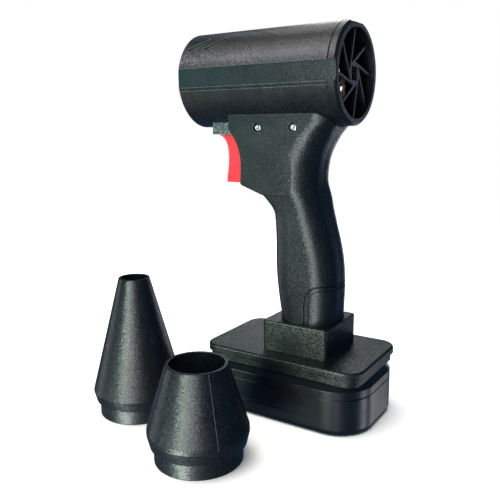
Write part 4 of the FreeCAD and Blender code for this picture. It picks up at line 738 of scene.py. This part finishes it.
# %% The wheel
BLADE_COUNT = 9
SHAFT_RADIUS = 2.5
HUB_SIDES = 72
ALONG_BARREL = Matrix.Translation((0, 0, wheel_middle.z)) @ Matrix.Rotation(math.radians(90), 4, "Y")

hub_front = wheel_low.x / MM
hub_rear = wheel_high.x / MM
# The profile goes from the bore's front edge round the hollow and the rim, and back along the bore.
hub_mesh = turned("fan_hub", [
    (SHAFT_RADIUS, hub_front), (5.2, hub_front), (5.6, hub_front + 3), (11.6, hub_front + 3),
    (12.0, hub_front + 0.2), (HUB_RADIUS - 0.3, hub_front), (HUB_RADIUS, hub_front + 0.3),
    (HUB_RADIUS, hub_rear - 0.2), (HUB_RADIUS - 0.2, hub_rear), (SHAFT_RADIUS, hub_rear),
    (SHAFT_RADIUS, hub_front)], HUB_SIDES, ALONG_BARREL)


def ring_of(tree, shape, count, centre):
    """Copies of a shape, turned about X in equal steps and moved to the centre."""
    seats = add(tree, "GeometryNodeMeshLine", {"Count": count, "Offset": (0, 0, 0)})
    number = add(tree, "GeometryNodeInputIndex")
    part_turn = add(tree, "ShaderNodeMath", {0: number, 1: count}, operation="DIVIDE")
    full_turn = add(tree, "ShaderNodeMath", {0: part_turn, 1: math.tau}, operation="MULTIPLY")
    round_axis = add(tree, "FunctionNodeAxisAngleToRotation", {"Axis": (1, 0, 0), "Angle": full_turn})
    ring = add(tree, "GeometryNodeInstanceOnPoints", {
        "Points": seats, "Instance": shape, "Rotation": round_axis})
    return add(tree, "GeometryNodeTransform", {"Geometry": ring, "Translation": centre})


wheel_tree, given = new_tree(
    "ring_of_blades", Hub="Geometry", Blade="Object", Count="Int", Centre="Vector")
blade_ring = ring_of(wheel_tree, pattern(wheel_tree, given["Blade"]), given["Count"], given["Centre"])
joined = add(wheel_tree, "GeometryNodeJoinGeometry", {"Geometry": blade_ring})
wheel_tree.links.new(given["Hub"], joined.inputs[0])
close_tree(wheel_tree, given, joined)
dressed("impeller_dressed", hub_mesh, wheel_tree, "rotor", "impeller_plastic", ["impeller"],
        Blade=blade_mesh, Count=BLADE_COUNT, Centre=wheel_middle)

# %% [markdown]
# ## The motor's windings
# Inside the can, enamelled copper wire is wound in twelve small coils round the
# stator. The frame has one plain ring there. A coil is a spiral that is squeezed to
# an oval, given the wire's thickness, and turned round the shaft twelve times. All
# of that follows a rule, so the tree makes it from a few numbers.

# %% Windings
COIL_COUNT = 12
COIL_TURNS = 7.0
COIL_STEPS = 20
WIRE_RADIUS = 0.27
WIRE_SIDES = 6
COIL_HALF_WIDTH = 1.75
COIL_HEIGHT = 3.3
COIL_END_ROOM = 0.1
COIL_TOP_ROOM = 0.2


def tube(tree, curve, radius, sides):
    """A curve that is given a round section."""
    section = add(tree, "GeometryNodeCurvePrimitiveCircle", {"Resolution": sides, "Radius": radius})
    return add(tree, "GeometryNodeCurveToMesh", {
        "Curve": curve, "Profile Curve": section.outputs[0], "Fill Caps": True})


ring_low, ring_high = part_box("motor_windings")
coil_half_length = (ring_high.x - ring_low.x) / 2 - (WIRE_RADIUS + COIL_END_ROOM) * MM
coil_seat = (ring_high.z - ring_low.z) / 2 - COIL_HEIGHT * MM - (WIRE_RADIUS + COIL_TOP_ROOM) * MM

coil_tree, given = new_tree(
    "ring_of_coils", Start="Geometry", Count="Int", Turns="Float", Height="Float", Wire="Float",
    Oval="Vector", Seat="Vector", Centre="Vector")
spiral = add(coil_tree, "GeometryNodeCurveSpiral", {
    "Resolution": COIL_STEPS, "Rotations": given["Turns"], "Start Radius": 1.0, "End Radius": 1.0,
    "Height": given["Height"]})
oval = add(coil_tree, "GeometryNodeTransform", {
    "Geometry": spiral, "Scale": given["Oval"], "Translation": given["Seat"]})
wire = tube(coil_tree, oval, given["Wire"], WIRE_SIDES)
close_tree(coil_tree, given, ring_of(coil_tree, wire.outputs[0], given["Count"], given["Centre"]))
dressed("motor_windings_dressed", bpy.data.meshes.new("coil_start"), coil_tree, "housing",
        "winding_copper", ["motor_windings"], Count=COIL_COUNT, Turns=COIL_TURNS, Height=COIL_HEIGHT * MM,
        Wire=WIRE_RADIUS * MM, Oval=(coil_half_length, COIL_HALF_WIDTH * MM, 1.0), Seat=(0, 0, coil_seat),
        Centre=(ring_low + ring_high) / 2)

# %% [markdown]
# ## The two capacitors
# Behind the guard the pale ends of two capacitors are the brightest thing in the
# barrel. Such a can is drawn from aluminium, scored with a cross at its free end so
# that it can open safely, and sleeved in dark film. The sleeve and the can are two
# materials, so they are two pieces on the same points. The cross is cut in the
# shape itself: the end's rings dip wherever they cross it.

# %% Capacitors
CAN_RADIUS = 5.85
CAN_SHOULDER = 1.5
CAN_HIDDEN = 3
CAN_SIDES = 64
SLEEVE_SIDES = 48
SLEEVE_LIP = 2.1
SCORE_HALF_WIDTH = 0.3
SCORE_DEPTH = 0.28
SCORE_MARGIN = 0.2
SHARP_ANGLE = math.radians(35)

cans = loose_boxes("controller_capacitors")
can_length = (cans[0][1].x - cans[0][0].x) / MM
can_outside = (cans[0][1].z - cans[0][0].z) / 2 / MM
can_ends = [Vector((high.x, (low.y + high.y) / 2, (low.z + high.z) / 2)) for low, high in cans]
can_ways = [Vector((1, 0, 0))] * len(cans)


def scored_end(mesh):
    """Sinks the points of a can's flat end that lie on the score's cross."""
    for corner in mesh.vertices:
        across = min(abs(corner.co.x), abs(corner.co.y)) / MM
        reach = math.hypot(corner.co.x, corner.co.y) / MM
        on_flat = corner.co.z > -SCORE_MARGIN * MM and reach < CAN_RADIUS - CAN_SHOULDER - SCORE_MARGIN
        if on_flat and across < SCORE_HALF_WIDTH:
            corner.co.z -= SCORE_DEPTH * MM
    return mesh


shoulder = [(CAN_RADIUS - CAN_SHOULDER * (1 - math.sin(a)), -CAN_SHOULDER * (1 - math.cos(a)))
            for a in (math.radians(90 - 15 * i) for i in range(7))]
end_rings = [(r / 4, 0) for r in range(int((CAN_RADIUS - CAN_SHOULDER) * 4), 0, -1)]
can_foot = [(0, -SLEEVE_LIP - CAN_HIDDEN), (CAN_RADIUS, -SLEEVE_LIP - CAN_HIDDEN)]
can_mesh = scored_end(turned("can", can_foot + shoulder + end_rings + [(0, 0)], CAN_SIDES))
sleeve_mesh = turned("sleeve", [
    (0, -can_length), (can_outside - 0.9, -can_length), (can_outside - 0.3, -can_length + 0.4),
    (can_outside - 0.2, -can_length + 1.6), (can_outside - 0.9, -can_length + 2.4),
    (can_outside - 0.2, -can_length + 3.2), (can_outside, -can_length + 3.8), (can_outside, -SLEEVE_LIP),
    (CAN_RADIUS - 0.05, -SLEEVE_LIP + 0.1), (CAN_RADIUS - 0.05, -SLEEVE_LIP - 2),
    (0, -SLEEVE_LIP - 2)], SLEEVE_SIDES)
sleeves = copied("capacitor_sleeves", sleeve_mesh, can_ends, can_ways, "housing", "capacitor_sleeve",
                 ["controller_capacitors"])
bare_cans = copied("capacitor_cans", can_mesh, can_ends, can_ways, "housing", "sink_aluminium",
                   material=can_aluminium)
for piece in (sleeves, bare_cans):
    piece.data.set_sharp_from_angle(angle=SHARP_ANGLE)

# %% [markdown]
# ## The springs
# The trigger and the battery's latch push against coil springs of wire. The tree is
# a spiral curve with the wire's round section. A spring can't follow a joint as a
# rigid piece, because its far end stays while its near end moves. Here each is only
# set in the box of its solid, wound away from the end that is held, and rides on its
# body.

# %% Springs
SPRING_STEPS = 24
SPRING_WIRE_SIDES = 8

spring_tree, given = new_tree(
    "wound_spring", Start="Geometry", Turns="Float", Radius="Float", Height="Float", Wire="Float")
helix = add(spring_tree, "GeometryNodeCurveSpiral", {
    "Resolution": SPRING_STEPS, "Rotations": given["Turns"], "Start Radius": given["Radius"],
    "End Radius": given["Radius"], "Height": given["Height"]})
close_tree(spring_tree, given, tube(spring_tree, helix, given["Wire"], SPRING_WIRE_SIDES))


def springs(node, body, axis, wire, turns, held):
    """Springs in the boxes of a part's solids, wound away from the end that is held, with the wire radius in
    mm.
    """
    boxes = loose_boxes(node)
    size = boxes[0][1] - boxes[0][0]
    length = abs(size.dot(axis))
    across = min(width for width, along in zip(size, axis) if along == 0)
    coil = grown(node + "_coil", bpy.data.meshes.new(node + "_start"), spring_tree, Turns=turns,
                 Radius=across / 2 - wire * MM, Height=length - 2 * wire * MM, Wire=wire * MM,
                 Material=finishes["spring_steel"])
    mesh = coil.data
    bpy.data.objects.remove(coil)
    mesh.transform(Matrix.Translation((0, 0, wire * MM)))
    away = axis if held == "low" else -axis
    feet = [(low + high) / 2 - away * (length / 2) for low, high in boxes]
    piece = copied(node + "_dressed", mesh, feet, [away] * len(feet), body, "spring_steel", [node])
    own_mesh(piece)


springs("trigger_spring", "housing", Vector((1, 0, 0)), 0.35, 5.0, "high")
springs("latch_springs", "battery", Vector((0, 0, 1)), 0.2, 4.0, "low")

# %% [markdown]
# ## Small parts on the board
# A controller's board carries dozens of chip resistors and capacitors, soldered
# where the tracks need them. On the two strips that the heat sink leaves free they
# are scattered with Geometry Nodes: points at least so far apart, each with a small
# chip whose size varies. The seed is fixed, so the board is the same on every run.

# %% Board parts
CHIP_SIZE = Vector((2.0, 1.2, 0.6)) * MM
CHIP_EDGE = 0.08
CHIP_SINK = 0.45
CHIP_GAP = 2.6 * MM
CHIP_DENSITY = 400000.0
CHIP_PLACE_SEED = 5
CHIP_SIZE_SEED = 11
CHIP_SMALLEST = (0.7, 0.8, 0.8)
CHIP_LARGEST = (1.0, 1.15, 1.3)
END_MARGIN = 1.6 * MM
SIDE_MARGIN = 2 * MM

board_low, board_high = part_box("controller_board")
sink_low, sink_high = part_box("controller_heatsink")
front = board_low.y + SIDE_MARGIN
back = board_high.y - SIDE_MARGIN
strip_points = []
for start, stop in ((board_low.x, sink_low.x), (sink_high.x, board_high.x)):
    left = start + END_MARGIN
    right = stop - END_MARGIN
    strip_points += [(left, front, board_high.z), (right, front, board_high.z),
                     (right, back, board_high.z), (left, back, board_high.z)]
strip_mesh = listed("board_strips", strip_points, faces=[(0, 1, 2, 3), (4, 5, 6, 7)])

chip_shape = bmesh.new()
bmesh.ops.create_cube(chip_shape, size=1.0)
bmesh.ops.bevel(chip_shape, geom=chip_shape.edges, offset=CHIP_EDGE, segments=1, affect="EDGES")
chip_shape.transform(Matrix.Diagonal((*CHIP_SIZE, 1)))
chip_shape.transform(Matrix.Translation((0, 0, CHIP_SIZE.z * CHIP_SINK)))
chip_mesh = as_mesh("chip", chip_shape)

scatter, given = new_tree(
    "scattered_chips", Strips="Geometry", Chip="Object", Gap="Float", Seed="Int")
spots = add(scatter, "GeometryNodeDistributePointsOnFaces", {
    "Mesh": given["Strips"], "Distance Min": given["Gap"], "Density Max": CHIP_DENSITY,
    "Seed": given["Seed"]}, distribute_method="POISSON")
size_in = add(scatter, "FunctionNodeRandomValue", {
    0: CHIP_SMALLEST, 1: CHIP_LARGEST, "Seed": CHIP_SIZE_SEED}, data_type="FLOAT_VECTOR")
chips = add(scatter, "GeometryNodeInstanceOnPoints", {
    "Points": spots, "Instance": pattern(scatter, given["Chip"]), "Scale": size_in})
close_tree(scatter, given, chips)
dressed("board_parts", strip_mesh, scatter, "housing", "chip_black", smooth=False, Chip=chip_mesh,
        Gap=CHIP_GAP, Seed=CHIP_PLACE_SEED)

# %% [markdown]
# ## The print seam on the short nozzle
# A printer starts each layer at the same place and leaves a small bead there, which
# runs up the nozzle as a thin raised line. It follows the nozzle's outline, so that
# is measured on the frame's own mesh, and a tree turns the path, at one angle round
# the nozzle's axis, into a bead of round section.

# %% Print seam
SEAM_ANGLE = math.radians(-31)
SEAM_RADIUS = 0.28
SEAM_SINK = 0.1
SEAM_FROM = 10.5
SEAM_LEAST_REACH = 19
BEAD_SIDES = 8

nozzle_low, nozzle_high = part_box("wide_nozzle")
nozzle_centre = (nozzle_low + nozzle_high) / 2
outline = {}
for corner in frame["nodes"]["wide_nozzle"].data.vertices:
    height = round(corner.co.z / MM, 1)
    reach = math.hypot(corner.co.x - nozzle_centre.x, corner.co.y - nozzle_centre.y) / MM
    outline[height] = max(reach, outline.get(height, 0))
print("short nozzle outline:", [(h, round(outline[h], 1)) for h in sorted(outline)])

sweep, given = new_tree("bead_along_path", Path="Geometry", Radius="Float")
line = add(sweep, "GeometryNodeMeshToCurve", {"Mesh": given["Path"]})
close_tree(sweep, given, tube(sweep, line, given["Radius"], BEAD_SIDES))

seam_rows = [(h, (outline[h] - SEAM_SINK) * MM) for h in sorted(outline)
             if h > SEAM_FROM and outline[h] > SEAM_LEAST_REACH]
seam_points = [(nozzle_centre.x + reach * math.cos(SEAM_ANGLE),
                nozzle_centre.y + reach * math.sin(SEAM_ANGLE), h * MM) for h, reach in seam_rows]
seam_mesh = listed("seam_path", seam_points, [(i, i + 1) for i in range(len(seam_points) - 1)])
dressed("wide_nozzle_seam", seam_mesh, sweep, "wide_nozzle_group", "nozzle_print",
        Radius=SEAM_RADIUS * MM)

# %% [markdown]
# ## Lips along the barrel's marks
# Where a printer ends a face or turns round a mark, the nozzle leaves a small lip, and
# on black plastic such a lip catches the light as a bright hairline. The long edges
# of the barrel's two flats and the outlines of its four arrowheads have them. Each
# is a path that is laid on the round skin, and the bead tree above fills it out. The
# lips are given a lighter grey than the barrel, a painted highlight that makes the
# hairlines show.

# %% Lips
LIP_RADIUS = 0.24
LIP_FRONT_ROOM = 0.4
LIP_REAR_ROOM = 0.6
SKIN_RADIUS = 33.0
FLAT_EDGE_HEIGHTS = (6.8, -6.0, -8.4)
ARROW_ANGLE = math.radians(53)
ARROW_HALF_WIDTH = 10.1
ARROW_LENGTH = 16.0
ARROW_STROKE = 5.3
ARROW_TIPS = (-76.0, -62.0)
EDGE_STEPS = 8

barrel_low, barrel_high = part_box("barrel_shell")
barrel_axis = barrel_high.z / MM - SKIN_RADIUS


def on_skin(along, angle, side):
    """A point on the barrel's skin, from its place along the barrel and its angle from the top."""
    reach = SKIN_RADIUS - LIP_RADIUS / 2
    return (along * MM, side * reach * math.sin(angle) * MM, (barrel_axis + reach * math.cos(angle)) * MM)


def arrow_outline(tip):
    """The closed outline of one arrowhead as pairs of a place along the barrel and one across it."""
    inner = ARROW_HALF_WIDTH * (ARROW_LENGTH - ARROW_STROKE) / ARROW_LENGTH
    rear = tip + ARROW_LENGTH
    corners = [(tip, 0), (rear, ARROW_HALF_WIDTH), (rear, inner), (tip + ARROW_STROKE, 0), (rear, -inner),
               (rear, -ARROW_HALF_WIDTH)]
    return [(x + (next_x - x) * i / EDGE_STEPS, y + (next_y - y) * i / EDGE_STEPS)
            for (x, y), (next_x, next_y) in zip(corners, corners[1:] + corners[:1])
            for i in range(EDGE_STEPS)]


lip_points = []
lip_edges = []
for side in (-1, 1):
    for rise in FLAT_EDGE_HEIGHTS:
        angle = math.acos(rise / SKIN_RADIUS)
        lip_edges.append((len(lip_points), len(lip_points) + 1))
        lip_points += [on_skin(barrel_low.x / MM + LIP_FRONT_ROOM, angle, side),
                       on_skin(barrel_high.x / MM - LIP_REAR_ROOM, angle, side)]
    for tip in ARROW_TIPS:
        arrow = arrow_outline(tip)
        first = len(lip_points)
        lip_points += [on_skin(x, ARROW_ANGLE + math.asin(y / SKIN_RADIUS), side) for x, y in arrow]
        lip_edges += [(first + i, first + (i + 1) % len(arrow)) for i in range(len(arrow))]
# The lips wear the lighter grey of the painted highlight, not the barrel's own black.
dressed("barrel_lips", listed("lip_paths", lip_points, lip_edges), sweep, "housing", "black_print",
        material=lips_painted_highlight, Radius=LIP_RADIUS * MM)

# %% [markdown]
# ## Which parts a light reaches
# A photographer keeps light off parts of a subject with black cards. Here light
# linking does that, by groups of parts: the nozzles stand nearer to the white sheet
# than the barrel does, and the grille lets some light in from the far side.

# %% What each light reaches
LIT_GROUPS = {
    "nozzles": ("narrow_nozzle", "wide_nozzle"),
    "base": ("adapter", "battery", "cell", "case", "latch", "terminal"),
    "intake": ("intake", "impeller", "spinner", "motor", "phase", "controller_heatsink",
               "controller_transistors"),
    "board": ("capacitor", "controller_board", "board", "power"),
}
reached = {group: bpy.data.collections.new("lit_" + group) for group in (*LIT_GROUPS, "upper", "all")}
for piece in [o for o in bpy.data.objects if o.type == "MESH"]:
    found = [group for group, starts in LIT_GROUPS.items() if piece.name.startswith(starts)]
    reached[found[0] if found else "upper"].objects.link(piece)
    reached["all"].objects.link(piece)
reached["upper"].objects.link(frame["nodes"]["intake_guard"])

# %% [markdown]
# ## Light
# The photograph was taken in a white room, and the shapes of its lights can be read
# in the reflections. A bright strip left of the camera gives each nozzle its
# greenish streak, a second one beside it the violet half, and a small one from the
# left the long band on the barrel. The white sheet throws light back from below,
# so some lights stand under the horizon. A black surface shows little else than its
# lights, so each one is a row with its place, size, power and colour. Sizes are in
# metres.

# %% Lights
LIGHT_DISTANCE = 1.2
LIGHT_AIM = Vector((0, 0, 0.12))
STRIP = (0.22, 0.5)
SHEET = (0.25, 0.4)
LOW_SHEET = (0.3, 0.35)
PANEL = (0.35, 0.4)
SQUARE = (0.3, 0.3)


def softbox(name, group, azimuth, elevation, size, power, colour):
    """A soft rectangular light that looks at the object from an azimuth and elevation."""
    lamp = bpy.data.lights.new(name, "AREA")
    lamp.shape = "RECTANGLE"
    lamp.size = size[0]
    lamp.size_y = size[1]
    lamp.energy = power
    lamp.color = linear(colour)[:3]
    holder = placed(name, lamp)
    way = direction(math.radians(azimuth), math.radians(elevation))
    holder.matrix_world = Matrix.Translation(LIGHT_AIM + way * LIGHT_DISTANCE) @ facing(way)
    holder.light_linking.receiver_collection = reached[group]


# Each is (name, group, azimuth, elevation, size, power, colour).
SOFTBOXES = [
    ("green_strip", "all", -3, 8, STRIP, 7.05, "#dafff8"),
    ("warm_strip", "all", 5, 8, STRIP, 3.66, "#ffeb9d"),
    ("violet_strip", "all", 14, 8, STRIP, 3.25, "#c3cbff"),
    ("sheet_below_strip", "all", 0, -14, SHEET, 2.73, "#fff3ee"),
    ("sheet_left_of_strip", "all", -12, -14, SHEET, 1.22, "#d7ffef"),
    ("sheet_right_of_strip", "all", 26, -30, LOW_SHEET, 0.59, "#ecebff"),
    ("left_wall", "all", -70, 8, STRIP, 1.1, "#f4f6ea"),
    ("sheet_left", "all", -70, -14, SHEET, 0.61, "#fefff4"),
    ("back_wall", "all", 215, 8, STRIP, 0.46, "#fefff5"),
    ("back_high", "all", 200, 36, PANEL, 2.09, "#fdfff6"),
    ("sheet_behind", "all", 180, -10, LOW_SHEET, 0.73, "#f5f8ff"),
    ("near_sheet", "nozzles", 0, -30, LOW_SHEET, 7.25, "#fcffff"),
    ("near_sheet_left", "nozzles", -12, -30, LOW_SHEET, 5.64, "#dcffea"),
    ("near_sheet_right", "nozzles", 26, -30, LOW_SHEET, 1.24, "#eaeaff"),
    ("near_sheet_side", "nozzles", -35, -14, SHEET, 1.26, "#e6fffc"),
    ("wide_dim_light", "nozzles", 26, 8, STRIP, 2.75, "#fffff5"),
    ("socket_light", "base", -22, 8, STRIP, 14.3, "#e0ffe8"),
    ("sheet_at_right", "base", 110, -30, LOW_SHEET, 1.54, "#f5f8ff"),
    ("sheet_at_back_right", "base", 150, -30, LOW_SHEET, 0.58, "#fffdf9"),
    ("band_light", "upper", -38, 46, SQUARE, 4.93, "#f4ecff"),
    ("band_edge_light", "upper", -42, 36, PANEL, 1.28, "#f5ffdb"),
    ("top_left", "upper", -70, 58, (0.4, 0.4), 0.62, "#fff8cb"),
    ("sky_left", "upper", -50, 8, STRIP, 1.14, "#5afeff"),
    ("grip_edge_light", "upper", 12, -30, LOW_SHEET, 8.06, "#ecf4ff"),
    ("sheet_far_left", "upper", -70, -14, SHEET, 4.97, "#fff6da"),
    ("panel_light", "upper", -34, 66, PANEL, 3.2, "#fffaf4"),
    ("top_light", "upper", 215, 60, (0.5, 0.5), 1.9, "#fffaf4"),
    ("rim_light", "nozzles", -3, 62, (0.2, 0.3), 1.5, "#e4ffe8"),
    ("guard_light", "intake", 160, 8, STRIP, 0.4, "#e6efff"),
    ("guard_front_light", "intake", 95, 14, SQUARE, 1.5, "#e6efff"),
    ("board_light", "board", 98, 6, SQUARE, 24.0, "#fff6e8"),
]
for box_light in SOFTBOXES:
    softbox(*box_light)
print("soft lights:", len(SOFTBOXES))

# %% [markdown]
# ## World
# The room around the lights is dim and a little blue, and fills the shadows, while
# the photograph's background is pure white, too bright for a wall that lights the
# blower so little. A Light Path node tells the two apart: the camera sees white, and
# everything else gets the dim room.

# %% World
DIM_ROOM = linear("#7abfff")
DIM_STRENGTH = 0.164

world = bpy.data.worlds.new("studio")
world.use_nodes = True
world.node_tree.nodes.clear()
bpy.context.scene.world = world
studio = world.node_tree
rays = add(studio, "ShaderNodeLightPath")
dim = add(studio, "ShaderNodeBackground", {"Color": DIM_ROOM, "Strength": DIM_STRENGTH})
white = add(studio, "ShaderNodeBackground", {"Color": (1, 1, 1, 1), "Strength": 1.0})
seen = add(studio, "ShaderNodeMixShader", {0: rays.outputs["Is Camera Ray"], 1: dim, 2: white})
add(studio, "ShaderNodeOutputWorld", {"Surface": seen})
bpy.context.scene.view_settings.view_transform = "Standard"
print("world:", world.name, "at strength", DIM_STRENGTH)

# %% [markdown]
# ## Floor
# The white sheet under the blower is blown out to pure white, so only a short warm
# shadow beside the nozzles is left of it. The floor is a pale disc with one wide
# light of its own, bright enough to overexpose it. Light linking keeps that light
# off the blower and the blower's lights off the floor, so each is set by itself.

# %% Floor
FLOOR_RADIUS = 0.9
FLOOR_SIDES = 96
FLOOR_DROP = 0.2 * MM
FIBRE_SIZE = 2
PAPER_ROUGHNESS = 0.9
PAPER_IOR = 1.5
FLOOR_LIGHT_SIZE = (2.4, 2.4)

floor_shape = bmesh.new()
bmesh.ops.create_circle(floor_shape, cap_ends=True, segments=FLOOR_SIDES, radius=FLOOR_RADIUS)
bmesh.ops.translate(floor_shape, verts=floor_shape.verts, vec=(0, 0, -FLOOR_DROP))
floor = placed("floor", as_mesh("floor", floor_shape))
paper, paper_tree, paper_place = begin("white_paper_sheet")
fibres = noise(paper_tree, paper_place, FIBRE_SIZE)
paper_tint = add(paper_tree, "ShaderNodeMix", {0: fibres, 6: linear("#e9e8e6"), 7: linear("#efeeeb")},
                 data_type="RGBA")
end(paper, {"Base Color": paper_tint.outputs[2], "Roughness": PAPER_ROUGHNESS, "IOR": PAPER_IOR})
floor.data.materials.append(paper)
floor.visible_diffuse = False
floor.visible_glossy = False
floor.visible_shadow = False
reached["floor"] = bpy.data.collections.new("lit_floor")
reached["floor"].objects.link(floor)
softbox("floor_light", "floor", -60, 66, FLOOR_LIGHT_SIZE, 86.0, "#fffdf8")
print("floor radius", FLOOR_RADIUS, "m")
